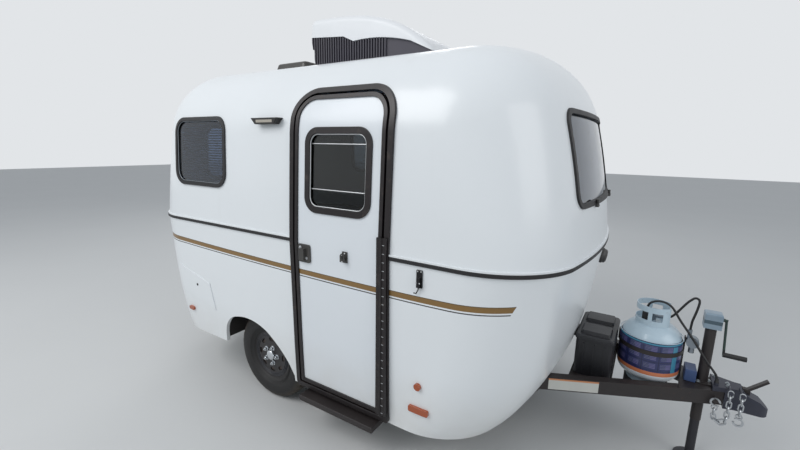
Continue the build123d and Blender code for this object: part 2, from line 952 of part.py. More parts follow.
# Wheels, made on the left and mirrored
for side, hand in ((-1, "right"), (1, "left")):
    flat = Plane(origin=(axle_x, side * track_half, tyre_radius), x_dir=(1, 0, 0), z_dir=(0, side, 0))
    with BuildPart() as tyre:
        with BuildSketch(flat.offset(-tyre_width / 2)):
            Circle(tyre_radius)
            Circle(bead_radius, mode=Mode.SUBTRACT)
        extrude(amount=tyre_width)
        rims = tyre.edges().filter_by(GeomType.CIRCLE).group_by(SortBy.RADIUS)[-1]
        chamfer(rims, tyre_shoulder, tyre_shoulder * 0.7)
    save(tyre.part, f"tyre_{hand}")
    disc = flat.offset(tyre_width / 2 - disc_inset)
    with BuildPart() as rim:
        with BuildSketch(flat.offset(-rim_width / 2)):
            Circle(bead_radius)
            Circle(bead_radius - rim_wall, mode=Mode.SUBTRACT)
        extrude(amount=rim_width)
        with BuildSketch(disc):
            Circle(bead_radius - rim_wall / 2)
            with PolarLocations(110, 8):
                SlotOverall(44, 26, rotation=90, mode=Mode.SUBTRACT)
        extrude(amount=-disc_thickness)
        with BuildSketch(disc):
            with PolarLocations(lug_circle, lug_count):
                RegularPolygon(11, 6)
        extrude(amount=16)
    save(rim.part, f"rim_{hand}")
    with BuildPart() as drum:
        with BuildSketch(disc.offset(-disc_thickness)):
            Circle(drum_radius)
        extrude(amount=-drum_width)
        with BuildSketch(disc.offset(-disc_thickness - drum_width)):
            Circle(spindle_radius + spindle_clearance)
        extrude(amount=drum_width - 4, mode=Mode.SUBTRACT)
    save(drum.part, f"hub_{hand}")

# Step under the door: runners under the floor, and a tread on two arms that slides out below them
step_top = skirt_height - runner_height - seat_gap
runner_outer = -half_width + wall + 40
arm_inner = -rail_spread - rail_width / 2 - 15
step_arms_x = (door_x - step_length / 2 + 60, door_x + step_length / 2 - 60)
with BuildPart() as step_runners:
    for x in step_arms_x:
        block(
            (x - runner_width / 2, x + runner_width / 2),
            (runner_outer, arm_inner),
            (skirt_height - runner_height, skirt_height),
        )
save(step_runners.part, "step_runners")

with BuildPart() as step_tread:
    block(
        (door_x - step_length / 2, door_x + step_length / 2),
        (-half_width - step_proud, -half_width - step_proud + step_width),
        (step_top - step_thickness, step_top),
    )
    for x in step_arms_x:
        block(
            (x - arm_thickness / 2, x + arm_thickness / 2),
            (-half_width, arm_inner),
            (step_top - step_thickness, step_top),
        )
save(step_tread.part, "step_tread")

# Lights, hatches and plates on the walls, each as proud as its skin
light_before_door = 187
light_x = door_x - door_width / 2 - light_before_door
light_z = 1850
light_proud = 40
with BuildPart() as porch_light:
    with BuildSketch(facing((0, -1, 0), light_x, -half_width + door_depth, light_z)):
        with BuildLine():
            Polyline((-111, 18), (111, 18), (86, -18), (-78, -18), close=True)
        make_face()
    extrude(amount=door_depth - 35 + light_proud)
    add(body, mode=Mode.SUBTRACT)
save(porch_light.part, "porch_light")


def fitting_port(direction, behind, side, z, width, height, radius):
    """Prism of a wall fitting, which a skin then cuts to the wall"""
    if direction[0]:
        plane = facing(direction, body_tail + 2 * fitting_depth, side, z)
    else:
        plane = facing(direction, body_nose - behind, direction[1] * (half_width - fitting_depth), z)
    with BuildSketch(plane) as face:
        RectangleRounded(width, height, radius)
    return extrude(face.sketch, amount=4 * fitting_depth, mode=Mode.PRIVATE)


fitting_depth = 80
tail_light_z = 640
tail_light_y = 560
side_faces = ((0, -1, 0), (0, 1, 0))
marker_ports = [
    fitting_port(face, behind, 0, z, width, height, radius)
    for face in side_faces
    for behind, z, width, height, radius in (
        (668, 413, 112, 34, 8), (674, 546, 38, 38, 18.9), (2628, 500, 60, 26, 8),
    )
]
with BuildPart() as marker_lights:
    add(marker_ports)
    add(fitting_skin, mode=Mode.INTERSECT)
save(marker_lights.part, "marker_lights")

tail_ports = [
    fitting_port((-1, 0, 0), 0, side * tail_light_y, tail_light_z, 150, 90, 10) for side in (-1, 1)
]
with BuildPart() as tail_lights:
    add(tail_ports)
    add(fitting_skin, mode=Mode.INTERSECT)
save(tail_lights.part, "tail_lights")

plate_port = fitting_port((-1, 0, 0), 0, 0, plate_z, plate_size[0], plate_size[1], 12)
with BuildPart() as number_plate:
    add(plate_port)
    add(trim_skin, mode=Mode.INTERSECT)
    plate_holes()
save(number_plate.part, "number_plate")

boss_corners = ((-229, 134), (137, 42), (185, -151), (-200, -70))
boss_behind_nose = 2515
boss_z = 700
boss_plane = facing((0, -1, 0), body_nose - boss_behind_nose, -half_width + fitting_depth, boss_z)
with BuildSketch(boss_plane) as boss:
    with BuildLine():
        Polyline(*boss_corners, close=True)
    make_face()
hatch_ports = [
    fitting_port((0, 1, 0), 1330, 0, 640, 300, 260, 14),
    fitting_port((0, 1, 0), 2420, 0, 700, 150, 150, 14),
    extrude(boss.sketch, amount=2 * fitting_depth, mode=Mode.PRIVATE),
]
with BuildPart() as wall_hatches:
    add(hatch_ports)
    add(trim_skin, mode=Mode.INTERSECT)
save(wall_hatches.part, "wall_hatches")

# Roof: air cooler with upright slats round its sides, its shroud, and the vent with its lid
cooler_tail = body_nose - cooler_tail_behind_nose
cooler_nose = cooler_tail + cooler_length
slat_count = 30
slat_thickness = 9
slat_depth = 12
slat_room = 650
slat_pitch = slat_room / slat_count
cooler_core = cooler_width - 2 * slat_depth - 10
cooler_sunk = 60
cooler_inset = 12
cooler_rounding = 42
# Seam between shroud and dark body, ahead of the cooler's tail and above the roof
seam_tail = (0, 194)
seam_step = (310, 168)
seam_dip = (395, 130)
seam_middle = (660, 123)
seam_bend = (840, 84)
seam_nose = (980, 18)
# Top of the shroud from its tail corner to its nose
shroud_top = ((12, cooler_height), (350, 299), (667, 233), (853, 139), (990, 20))


def cooler_point(point):
    """Place of a point of the cooler's side view"""
    return (cooler_tail + point[0], roof_height + point[1])


def cooler_seam():
    """Draws the seam, from tail to nose"""
    Polyline(cooler_point(seam_tail), cooler_point(seam_step), cooler_point(seam_dip))
    ThreePointArc(cooler_point(seam_dip), cooler_point(seam_middle), cooler_point(seam_bend))
    Line(cooler_point(seam_bend), cooler_point(seam_nose))


def cooler_form(width):
    """Dark lower part of the cooler, at a width across the roof"""
    with BuildSketch(Plane.XZ.offset(-width / 2)) as side_view:
        with BuildLine():
            cooler_seam()
            Polyline(
                cooler_point(seam_nose),
                cooler_point((seam_nose[0], -cooler_sunk)),
                cooler_point((cooler_sunk, -cooler_sunk)),
                cooler_point((cooler_inset, seam_tail[1])),
                cooler_point(seam_tail),
            )
        make_face()
    return extrude(side_view.sketch, amount=width, mode=Mode.PRIVATE)


with BuildPart() as cooler_body:
    for index in range(slat_count):
        slat_x = cooler_tail + cooler_inset + (index + 0.5) * slat_pitch
        block(
            (slat_x - slat_thickness / 2, slat_x + slat_thickness / 2),
            (-cooler_width / 2, cooler_width / 2),
            (roof_height - cooler_sunk, roof_height + cooler_height),
        )
    add(cooler_form(cooler_core + 2 * slat_depth), mode=Mode.INTERSECT)
    add(cooler_form(cooler_core))
    add(body, mode=Mode.SUBTRACT)
save(cooler_body.part, "cooler_body")

with BuildPart() as cooler_shroud:
    with BuildSketch(Plane.XZ.offset(-cooler_width / 2)):
        with BuildLine():
            cooler_seam()
            Line(cooler_point(seam_nose), cooler_point(shroud_top[-1]))
            Spline(*[cooler_point(point) for point in reversed(shroud_top)])
            Line(cooler_point(shroud_top[0]), cooler_point(seam_tail))
        make_face()
    extrude(amount=cooler_width)
    tops = cooler_shroud.edges().filter_by(GeomType.BSPLINE)
    tail_edges = cooler_shroud.edges().filter_by_position(Axis.X, cooler_tail - 1, cooler_tail + cooler_inset + 1)
    low_edge = tail_edges.group_by(Axis.Z)[0]
    fillet(tops + [edge for edge in tail_edges if edge not in low_edge], cooler_rounding)
save(cooler_shroud.part, "cooler_shroud")

vent_x = body_nose - vent_behind_nose
vent_base_top = roof_height + vent_base_proud
vent_hinge_x = vent_x + vent_size / 2 + vent_hinge_radius + 3
vent_hinge_z = vent_base_top + vent_hinge_radius + 2
vent_knuckle = vent_hinge_length / 3
with BuildPart() as vent_base:
    block(
        (vent_x - vent_size / 2, vent_hinge_x + vent_hinge_radius),
        (-vent_size / 2, vent_size / 2),
        (roof_height - 40, vent_base_top),
    )
    add(body, mode=Mode.SUBTRACT)
    for side in (-1, 1):
        middle = side * vent_knuckle
        y_range = (middle - vent_knuckle / 2, middle + vent_knuckle / 2)
        rod(
            (vent_hinge_x, y_range[0], vent_hinge_z),
            (vent_hinge_x, y_range[1], vent_hinge_z),
            vent_hinge_radius,
        )
        block(
            (vent_hinge_x - vent_pin_radius, vent_hinge_x + vent_hinge_radius),
            y_range,
            (vent_base_top, vent_hinge_z),
        )
    rod(
        (vent_hinge_x, -vent_hinge_length / 2, vent_hinge_z),
        (vent_hinge_x, vent_hinge_length / 2, vent_hinge_z),
        vent_pin_radius,
    )
save(vent_base.part, "vent_base")

with BuildPart() as vent_lid:
    with BuildSketch(Plane(origin=(vent_x, 0, vent_base_top + seat_gap))):
        RectangleRounded(vent_size, vent_size, lid_corner)
    extrude(amount=lid_height, taper=lid_taper)
    fillet(vent_lid.faces().sort_by(Axis.Z)[-1].edges(), lid_rounding)
    hinge_reach = vent_knuckle / 2 - 1
    rod(
        (vent_hinge_x, -hinge_reach, vent_hinge_z),
        (vent_hinge_x, hinge_reach, vent_hinge_z),
        vent_hinge_radius,
    )
    block(
        (vent_x + vent_size / 2 - 20, vent_hinge_x),
        (-hinge_reach, hinge_reach),
        (vent_hinge_z - vent_pin_radius, vent_hinge_z + vent_pin_radius),
    )
    rod(
        (vent_hinge_x, -hinge_reach - 1, vent_hinge_z),
        (vent_hinge_x, hinge_reach + 1, vent_hinge_z),
        vent_pin_radius + hinge_clearance,
        mode=Mode.SUBTRACT,
    )
save(vent_lid.part, "vent_lid")

# Battery box on its tray, and its lid with two raised caps
battery_x = body_nose + battery_ahead
lid_base = tray_top + battery_size[2]
lid_rim = 7
with BuildPart() as battery_box:
    with BuildSketch(Plane.XY.offset(tray_top)):
        with Locations((battery_x, 0)):
            RectangleRounded(battery_size[0] - 2 * lid_rim, battery_size[1] - 2 * lid_rim, 20)
    extrude(amount=battery_size[2])
save(battery_box.part, "battery_box")
with BuildPart() as battery_lid:
    with BuildSketch(Plane.XY.offset(lid_base)):
        with Locations((battery_x, 0)):
            RectangleRounded(battery_size[0], battery_size[1], 24)
    extrude(amount=battery_lid_height)
    chamfer(battery_lid.faces().sort_by(Axis.Z)[-1].edges(), lid_rim)
    with BuildSketch(Plane.XY.offset(lid_base + battery_lid_height)):
        with Locations((battery_x, -battery_size[1] / 4), (battery_x, battery_size[1] / 4)):
            RectangleRounded(*battery_cap_size, 16)
    extrude(amount=battery_cap_height, taper=lid_taper)
save(battery_lid.part, "battery_lid")

# Gas bottle with its foot and its collar
bottle_x = body_nose + bottle_ahead
foot_height = 28
foot_radius = 100
foot_wall = 20
bottle_front = Plane(origin=(bottle_x, 0, tray_top), x_dir=(1, 0, 0), z_dir=(0, -1, 0))
collar_low = bottle_top - 26
with BuildPart() as gas_bottle:
    with BuildSketch(bottle_front):
        with BuildLine():
            Polyline(
                (0, foot_height),
                (foot_radius - foot_wall, foot_height),
                (foot_radius - foot_wall, 0),
                (foot_radius, 0),
                (foot_radius, foot_height + 4),
            )
            ThreePointArc(
                (foot_radius, foot_height + 4),
                (bottle_radius - 17, foot_height + 24),
                (bottle_radius, foot_height + 62),
            )
            Line((bottle_radius, foot_height + 62), (bottle_radius, bottle_shoulder))
            ThreePointArc(
                (bottle_radius, bottle_shoulder),
                (bottle_radius - 35, bottle_shoulder + 66),
                (40, bottle_top),
            )
            Polyline((40, bottle_top), (0, bottle_top), (0, foot_height))
        make_face()
    revolve(axis=Axis((bottle_x, 0, 0), (0, 0, 1)))
    with BuildSketch(Plane(origin=(bottle_x, 0, tray_top + collar_low))) as collar:
        Circle(collar_radius)
        Circle(collar_radius - collar_wall, mode=Mode.SUBTRACT)
        with Locations((collar_radius, 0)):
            Rectangle(collar_radius, collar_gap, mode=Mode.SUBTRACT)
    extrude(collar.sketch, amount=collar_height)
    for start, end in collar_windows:
        block(
            (bottle_x + start, bottle_x + end),
            (-2 * collar_radius, 2 * collar_radius),
            (tray_top + collar_low + 44, tray_top + collar_low + collar_height - 32),
            mode=Mode.SUBTRACT,
        )
save(gas_bottle.part, "gas_bottle")

valve_z = tray_top + bottle_top
outlet_z = valve_z + 26
outlet_ahead = bottle_ahead + 44
outlet_x = body_nose + outlet_ahead
bracket_x = bottle_x + bottle_radius + seat_gap
regulator_radius = 30
regulator_x = bracket_x + bracket_thickness + regulator_radius
regulator_z = 700
regulator_y = -12
hose_end_ahead = 468
hose_end_z = 768
hose_end = (body_nose + hose_end_ahead, regulator_y, hose_end_z)
with BuildPart() as gas_fittings:
    rod((bottle_x, 0, valve_z), (bottle_x, 0, valve_z + 46), 13)
    rod((bottle_x, 0, valve_z + 46), (bottle_x, 0, valve_z + 60), 24)
    rod((bottle_x, 0, outlet_z), (outlet_x, 0, outlet_z), 12)
    rod(
        (regulator_x, regulator_y - 22, regulator_z),
        (regulator_x, regulator_y + 22, regulator_z),
        regulator_radius,
    )
    rod((regulator_x, regulator_y, regulator_z), (regulator_x, regulator_y, regulator_z - 62), 14)
    rod((hose_end[0], regulator_y, regulator_z), hose_end, 10)
save(gas_fittings.part, "gas_fittings")

strap_z = tray_top + 206
strap_height = 24
with BuildPart() as bottle_bracket:
    with BuildSketch(Plane(origin=(bottle_x, 0, strap_z))):
        Circle(bottle_radius + seat_gap + bracket_thickness / 2)
        Circle(bottle_radius + seat_gap, mode=Mode.SUBTRACT)
    extrude(amount=strap_height)
    for side, top in ((1, regulator_z + 20), (-1, strap_z + 60)):
        inner = bottle_x + side * (bottle_radius + seat_gap)
        outer = inner + side * bracket_thickness
        block(
            (min(inner, outer), max(inner, outer)),
            (-bracket_width / 2, bracket_width / 2),
            (strap_z, top),
        )
    block(
        (bracket_x, bracket_x + bracket_thickness),
        (-bracket_width / 2, bracket_width / 2),
        (deck_top, strap_z),
    )
save(bottle_bracket.part, "bottle_bracket")

with BuildPart() as junction_box:
    block(
        (body_nose + 470, body_nose + 524),
        (-50, 50),
        (deck_top, deck_top + 68),
    )
save(junction_box.part, "junction_box")

# Jack on the tongue with its crank, and its leg down to the ground
jack_tube_top = jack_head_top - jack_head_height
with BuildPart() as jack_column:
    rod((jack_x, 0, jack_tube_low), (jack_x, 0, jack_tube_top), jack_tube_radius)
    block(
        (jack_x - 30, jack_x + 38),
        (-42, 42),
        (deck_top, deck_top + 8),
    )
    rod(
        (jack_x, 0, jack_tube_low - 1),
        (jack_x, 0, jack_tube_top - 20),
        jack_tube_radius - jack_tube_wall,
        mode=Mode.SUBTRACT,
    )
save(jack_column.part, "jack_column")

leg_radius = jack_tube_radius - jack_tube_wall - jack_clearance
with BuildPart() as jack_leg:
    rod((jack_x, 0, 8), (jack_x, 0, tongue_rail_top + 120), leg_radius)
    rod((jack_x, 0, 0), (jack_x, 0, 8), 75)
save(jack_leg.part, "jack_leg")

crank_x = jack_x + 58
crank_z = jack_head_top - 34
crank_low = 661
crank_radius = 6
with BuildPart() as jack_head:
    block((jack_x - 38, jack_x + 40), (-34, 34), (jack_tube_top, jack_head_top))
    fillet(jack_head.faces().sort_by(Axis.Z)[-1].edges(), 10)
    rod((jack_x + 40, 0, crank_z), (jack_x + 52, 0, crank_z), 9)
    rod((jack_x + 52, 0, crank_z), (crank_x + crank_radius, 0, crank_z), crank_radius)
    rod((crank_x, 0, crank_z), (crank_x + 12, 0, crank_low), crank_radius)
    rod((crank_x + 8, 0, crank_low), (crank_x + 108, 0, crank_low), 13)
save(jack_head.part, "jack_head")

# Coupler: a plate on the rails' ends, then the nose with its ball socket, the chains' pins and the gland
coupler_nose = body_nose + tongue_reach
ball_x = coupler_nose - coupler_width / 2
coupler_tail = body_nose + 596
neck_x = body_nose + 700
hump_x = body_nose + 741
nose_block_x = rail_end_x + rail_width / 4
tail_half = coupler_tail_width / 2
nose_half = coupler_width / 2
coupler_outline = (
    (coupler_tail, -tail_half),
    (neck_x, -nose_half - 3),
    (ball_x, -nose_half),
    (ball_x, nose_half),
    (neck_x, nose_half + 3),
    (coupler_tail, tail_half),
)
coupler_profile = (
    (coupler_tail, tongue_rail_top),
    (coupler_tail, coupler_top),
    (neck_x + 25, coupler_top),
    (hump_x, coupler_top - 20),
    (ball_x, coupler_top - 43),
    (coupler_nose, coupler_top - 80),
    (coupler_nose, coupler_bottom),
    (nose_block_x, coupler_bottom),
    (nose_block_x, tongue_rail_top),
)
gland_x = body_nose + gland_ahead
with BuildPart() as coupler:
    with BuildSketch(Plane.XY.offset(coupler_bottom)):
        with BuildLine():
            Polyline(*coupler_outline, close=True)
        make_face()
        with Locations((ball_x, 0)):
            Circle(nose_half)
    extrude(amount=coupler_top - coupler_bottom)
    with BuildSketch(Plane.XZ.offset(-coupler_width)):
        with BuildLine():
            Polyline(*coupler_profile, close=True)
        make_face()
    extrude(amount=2 * coupler_width, mode=Mode.INTERSECT)
    for x, z in chain_pins:
        chain_pin(x, nose_half / 2, z)
    rod((gland_x, gland_y, coupler_top), (gland_x, gland_y, coupler_top + gland_height), 11)
    rod(
        (ball_x, 0, coupler_bottom - 1),
        (ball_x, 0, coupler_bottom + socket_depth),
        ball_radius + ball_clearance,
        mode=Mode.SUBTRACT,
    )
save(coupler.part, "coupler")

latch_x_range = (hump_x - 14, hump_x + 18)
lever_foot = (hump_x + 6, 0, coupler_top - 6)
lever_tip = (body_nose + 822, 0, 572)
with BuildPart() as coupler_latch:
    block(latch_x_range, (-14, 14), (coupler_top - 40, coupler_top + 2))
    bar(lever_foot, lever_tip, 26, 12)
    add(coupler.part, mode=Mode.SUBTRACT)
save(coupler_latch.part, "coupler_latch")

# Hose from the bottle's valve to the regulator: ahead of the nose, Y, Z
hose_route = (
    (outlet_ahead, 0, outlet_z),
    (outlet_ahead + 26, 0, outlet_z),
    (388, -3, 828), (412, -6, 872), (438, -8, 917), (454, -9, 936), (462, -10, 945),
    (471.4, -10, 948.4), (481, -11, 945.6), (487.2, -11, 937.8), (488, -12, 920),
    (484, -12, 888), (477, -12, 850),
    (hose_end_ahead, regulator_y, hose_end_z + 42),
    (hose_end_ahead, regulator_y, hose_end_z),
)

# Trailer lead from its gland up to the plug that is stowed in the collar
lead_start_z = coupler_top + gland_height
lead_route = (
    (gland_ahead, gland_y, lead_start_z),
    (gland_ahead, gland_y, lead_start_z + 30),
    (588, -52, 582), (558, -59, 620), (530, -58, 660), (502, -54, 702), (470, -48, 746),
    (440, -42, 784), (412, -39, 820), (390, -38, 856), (366, -42, 890), (330, -46, 908),
    (288, -46, 904), (255, -42, 876), (255, -42, 834),
)


def soft_tube(route, radius, label):
    """Tube of straight runs and tangent arcs along a route, with its arcs' radii printed"""
    points = [Vector(body_nose + ahead, y, z) for ahead, y, z in route]
    runs = [after - before for before, after in zip(points, points[1:])]
    radii = []
    for before, after in zip(runs, runs[1:]):
        half_turn = radians(before.get_angle(after) / 2)
        radii.append(0.45 * min(before.length, after.length) / tan(half_turn))
    print(label, "arc radii", [round(value) for value in radii])
    with BuildPart() as tube:
        with BuildLine() as path:
            FilletPolyline(*points, radius=radii)
        with BuildSketch(Plane(origin=points[0], z_dir=runs[0])):
            Circle(radius)
        sweep(path=path.wires()[0])
    length = path.wires()[0].length
    section = pi * radius**2
    print(label, "length", round(length), "volume ratio", round(tube.part.volume / (section * length), 4))
    save(tube.part, label)


soft_tube(hose_route, hose_radius, "gas_hose")
soft_tube(lead_route, cord_radius, "trailer_lead")

plug_x, plug_y, plug_top = body_nose + lead_route[-1][0], lead_route[-1][1], lead_route[-1][2]
with BuildPart() as lead_plug:
    rod((plug_x, plug_y, valve_z + 0.5), (plug_x, plug_y, plug_top), 19)
save(lead_plug.part, "lead_plug")

with BuildPart() as safety_chains:
    add(chain_pieces)
save(safety_chains.part, "safety_chains")
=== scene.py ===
"""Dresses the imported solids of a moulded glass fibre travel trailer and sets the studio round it."""

import json
import math

import bmesh
import bpy
import numpy as np
from bpy.props import FloatProperty, FloatVectorProperty, IntProperty, PointerProperty
from mathutils import Matrix, Vector
from mathutils.bvhtree import BVHTree
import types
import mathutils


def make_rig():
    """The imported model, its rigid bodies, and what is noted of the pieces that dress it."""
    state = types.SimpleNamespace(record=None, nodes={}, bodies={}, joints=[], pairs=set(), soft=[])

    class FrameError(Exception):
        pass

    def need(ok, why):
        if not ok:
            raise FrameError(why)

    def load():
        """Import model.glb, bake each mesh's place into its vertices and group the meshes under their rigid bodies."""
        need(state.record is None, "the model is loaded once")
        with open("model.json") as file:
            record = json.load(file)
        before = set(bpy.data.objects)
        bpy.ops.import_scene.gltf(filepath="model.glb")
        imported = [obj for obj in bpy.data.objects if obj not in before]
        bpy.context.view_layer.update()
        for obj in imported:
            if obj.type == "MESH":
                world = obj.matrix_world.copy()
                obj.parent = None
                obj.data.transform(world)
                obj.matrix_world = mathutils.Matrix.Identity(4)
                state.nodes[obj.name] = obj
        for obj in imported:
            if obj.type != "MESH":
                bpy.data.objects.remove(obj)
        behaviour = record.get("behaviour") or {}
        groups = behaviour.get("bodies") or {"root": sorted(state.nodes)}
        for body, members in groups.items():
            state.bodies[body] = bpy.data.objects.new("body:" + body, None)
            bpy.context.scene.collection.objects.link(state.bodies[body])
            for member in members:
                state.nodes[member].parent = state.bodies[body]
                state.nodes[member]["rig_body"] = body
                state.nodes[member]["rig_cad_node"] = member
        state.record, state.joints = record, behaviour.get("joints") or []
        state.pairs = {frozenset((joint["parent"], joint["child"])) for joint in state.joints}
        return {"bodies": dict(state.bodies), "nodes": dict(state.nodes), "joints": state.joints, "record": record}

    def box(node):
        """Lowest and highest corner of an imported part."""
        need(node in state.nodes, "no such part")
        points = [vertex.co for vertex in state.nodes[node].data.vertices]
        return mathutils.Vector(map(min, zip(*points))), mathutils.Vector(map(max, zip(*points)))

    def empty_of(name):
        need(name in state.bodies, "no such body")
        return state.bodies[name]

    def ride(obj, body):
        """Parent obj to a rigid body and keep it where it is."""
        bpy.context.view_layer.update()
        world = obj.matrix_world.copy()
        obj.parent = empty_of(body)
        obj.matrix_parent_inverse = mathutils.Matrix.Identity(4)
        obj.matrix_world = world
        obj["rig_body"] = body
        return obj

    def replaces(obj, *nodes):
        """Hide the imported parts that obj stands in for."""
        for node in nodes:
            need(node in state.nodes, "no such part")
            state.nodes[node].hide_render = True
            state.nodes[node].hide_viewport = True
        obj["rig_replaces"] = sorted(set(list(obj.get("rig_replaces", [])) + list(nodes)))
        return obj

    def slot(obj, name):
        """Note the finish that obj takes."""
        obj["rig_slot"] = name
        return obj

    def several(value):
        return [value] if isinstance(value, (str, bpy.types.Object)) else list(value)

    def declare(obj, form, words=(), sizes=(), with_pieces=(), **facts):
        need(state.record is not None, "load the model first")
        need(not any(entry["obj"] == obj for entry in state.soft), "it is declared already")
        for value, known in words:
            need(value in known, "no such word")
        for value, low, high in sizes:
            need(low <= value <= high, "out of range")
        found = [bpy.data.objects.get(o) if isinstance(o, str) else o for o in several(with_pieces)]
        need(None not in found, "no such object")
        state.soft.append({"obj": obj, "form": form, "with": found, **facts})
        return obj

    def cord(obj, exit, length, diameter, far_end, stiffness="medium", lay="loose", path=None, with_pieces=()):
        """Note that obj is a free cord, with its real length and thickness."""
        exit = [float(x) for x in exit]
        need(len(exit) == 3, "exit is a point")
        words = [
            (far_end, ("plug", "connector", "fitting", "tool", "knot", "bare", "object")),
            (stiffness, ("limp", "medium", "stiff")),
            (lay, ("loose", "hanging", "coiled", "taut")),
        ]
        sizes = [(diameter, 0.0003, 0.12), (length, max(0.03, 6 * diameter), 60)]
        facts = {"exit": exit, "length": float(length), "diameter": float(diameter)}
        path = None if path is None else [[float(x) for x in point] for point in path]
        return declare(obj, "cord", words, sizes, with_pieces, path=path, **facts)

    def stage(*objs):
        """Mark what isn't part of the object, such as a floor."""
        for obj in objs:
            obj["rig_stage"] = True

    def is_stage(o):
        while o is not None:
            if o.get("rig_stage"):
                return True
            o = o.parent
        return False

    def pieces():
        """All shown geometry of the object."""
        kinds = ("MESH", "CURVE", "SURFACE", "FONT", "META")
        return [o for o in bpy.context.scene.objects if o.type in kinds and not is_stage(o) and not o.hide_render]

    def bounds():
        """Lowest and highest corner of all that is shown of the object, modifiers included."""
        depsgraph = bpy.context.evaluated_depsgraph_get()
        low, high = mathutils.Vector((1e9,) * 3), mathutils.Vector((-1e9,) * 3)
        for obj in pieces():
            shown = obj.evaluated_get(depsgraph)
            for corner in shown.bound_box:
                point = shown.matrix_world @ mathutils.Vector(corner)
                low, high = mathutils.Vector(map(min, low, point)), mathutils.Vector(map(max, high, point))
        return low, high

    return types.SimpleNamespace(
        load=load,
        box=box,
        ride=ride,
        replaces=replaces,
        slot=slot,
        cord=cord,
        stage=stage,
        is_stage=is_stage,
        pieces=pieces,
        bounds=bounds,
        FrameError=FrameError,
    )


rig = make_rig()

bl_info = {
    "name": "Moulded travel trailer",
    "version": (1, 0, 0),
    "blender": (4, 5, 0),
    "location": "3D View > Sidebar > Trailer",
    "description": "Finishes and fine pieces for a moulded travel trailer, and its studio",
    "category": "Object",
}

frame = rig.load()
cad_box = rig.bounds()
nodes = frame["nodes"]
record = frame["record"]
slot_of = {part["node"]: part["material_slot"] for part in record["subparts"]}
body_of = {node: body for body, names in record["behaviour"]["bodies"].items() for node in names}

# Directions, and which side is which
level = (1, 0, 0)
upright = (0, 0, 1)
hands = ((-1, "right"), (1, "left"))

# Places of the solids, in metres
body_nose = 1.1545
bottle_x = body_nose + 0.294
tray_z = 0.42
rail_end_x = body_nose + 0.64
rail_slope = 0.466
rail_edge = 0.0588
jack_x = body_nose + 0.556
coupler_x = body_nose + 0.615
axle_x = -0.7175
tyre_radius = 0.305
track_half = 0.848
rim_face = track_half + 0.0635
hinge_x = 0.2715
door_x = -0.0345
catch_x = 0.4795
door_window_z = 1.586
side_window_x = body_nose - 2.405
side_window_z = 1.662
kitchen_window_x = body_nose - 1.190
kitchen_window_z = 1.700
well_clear = 3

# Stripe along the sides: its top edge bows up fore and aft, and more so near the nose
stripe_top = 1.020
stripe_bow = 0.0105
stripe_end_x = 0.914
stripe_width = 0.030
stripe_edge = 0.0035
thin_line = (0.0380, 0.0436)
nose_rise_x = 0.35
nose_rise = 0.042

# Wheel pieces
tread_foot = 0.262
side_wall_foot = 0.19
bolt_circle = 0.05715
rim_bead_radii = (0.133, 0.143, 0.152)

# Camera of the photograph: the angles in degrees, the focal length in pixels of its width
camera_place = (1.35135, -2.59051, 1.72608)
camera_yaw = 32.0383
camera_pitch = 11.2237
camera_roll = 1.0243
focal_pixels = 400.5878
photo_pixels = 800
sensor_mm = 36


def paint_colour(red, green, blue):
    """Linear colour from the 0 to 255 numbers that a screen shows"""
    channels = (red / 255, green / 255, blue / 255)
    return tuple(c / 12.92 if c <= 0.04045 else ((c + 0.055) / 1.055) ** 2.4 for c in channels)


def colour_property(name, description, *shown):
    """Colour that a user may change"""
    return FloatVectorProperty(
        name=name, description=description, subtype="COLOR", size=3, min=0, max=1,
        default=paint_colour(*shown),
    )


class TrailerFinishes(bpy.types.PropertyGroup):
    """Colours of the trailer"""

    gelcoat: colour_property("Gelcoat", "Colour of the moulded shell", 232, 236, 238)
    door_white: colour_property("Door panel", "Colour of the door's panel", 226, 231, 235)
    stripe: colour_property("Stripe", "Colour of the stripe along the sides", 128, 97, 48)
    pinstripe: colour_property("Thin line", "Colour of the line under the stripe", 38, 34, 32)
    frame_brown: colour_property("Door frame", "Colour of the door's frame", 36, 31, 32)
    rubber: colour_property("Rubber", "Colour of belt moulding and window frames", 26, 25, 27)
    chassis: colour_property("Chassis paint", "Colour of rails and axle", 30, 27, 29)
    tongue_blue: colour_property("Tongue paint", "Colour of the junction box", 56, 80, 124)
    bottle: colour_property("Bottle paint", "Colour of the gas bottle", 186, 205, 216)
    label_navy: colour_property("Label", "Main colour of the bottle's label", 44, 50, 94)
    label_teal: colour_property("Label edge", "Edge colour of the bottle's label", 62, 140, 168)
    label_orange: colour_property("Label band", "Lower band of the bottle's label", 204, 122, 82)
    battery: colour_property("Battery box", "Colour of the battery box", 20, 22, 30)


class TrailerSizes(bpy.types.PropertyGroup):
    """Sizes of the fine pieces"""

    knuckle_pitch: FloatProperty(
        name="Knuckle pitch", description="Distance between the hinge's knuckles",
        default=0.0435, min=0.01, unit="LENGTH",
    )
    screw_radius: FloatProperty(
        name="Screw radius", description="Radius of a hinge screw's head",
        default=0.004, min=0.001, unit="LENGTH",
    )
    louvre_count: IntProperty(
        name="Louvres", description="Slats behind each rear side window", default=24, min=3
    )
    tread_segments: IntProperty(
        name="Tread segments", description="Steps round each tyre", default=144, min=48
    )


class StageSettings(bpy.types.PropertyGroup):
    """Studio round the trailer"""

    backdrop: colour_property("Backdrop", "Colour behind the trailer", 226, 229, 232)
    floor: colour_property("Floor", "Colour of the floor", 206, 207, 206)
    key_power: FloatProperty(
        name="Key light", description="Power of the large light", default=330, unit="POWER"
    )
    fill_power: FloatProperty(
        name="Fill light", description="Power of the second and third lights", default=95, unit="POWER"
    )
    sky_strength: FloatProperty(name="Sky", description="Strength of the even light", default=0.5)


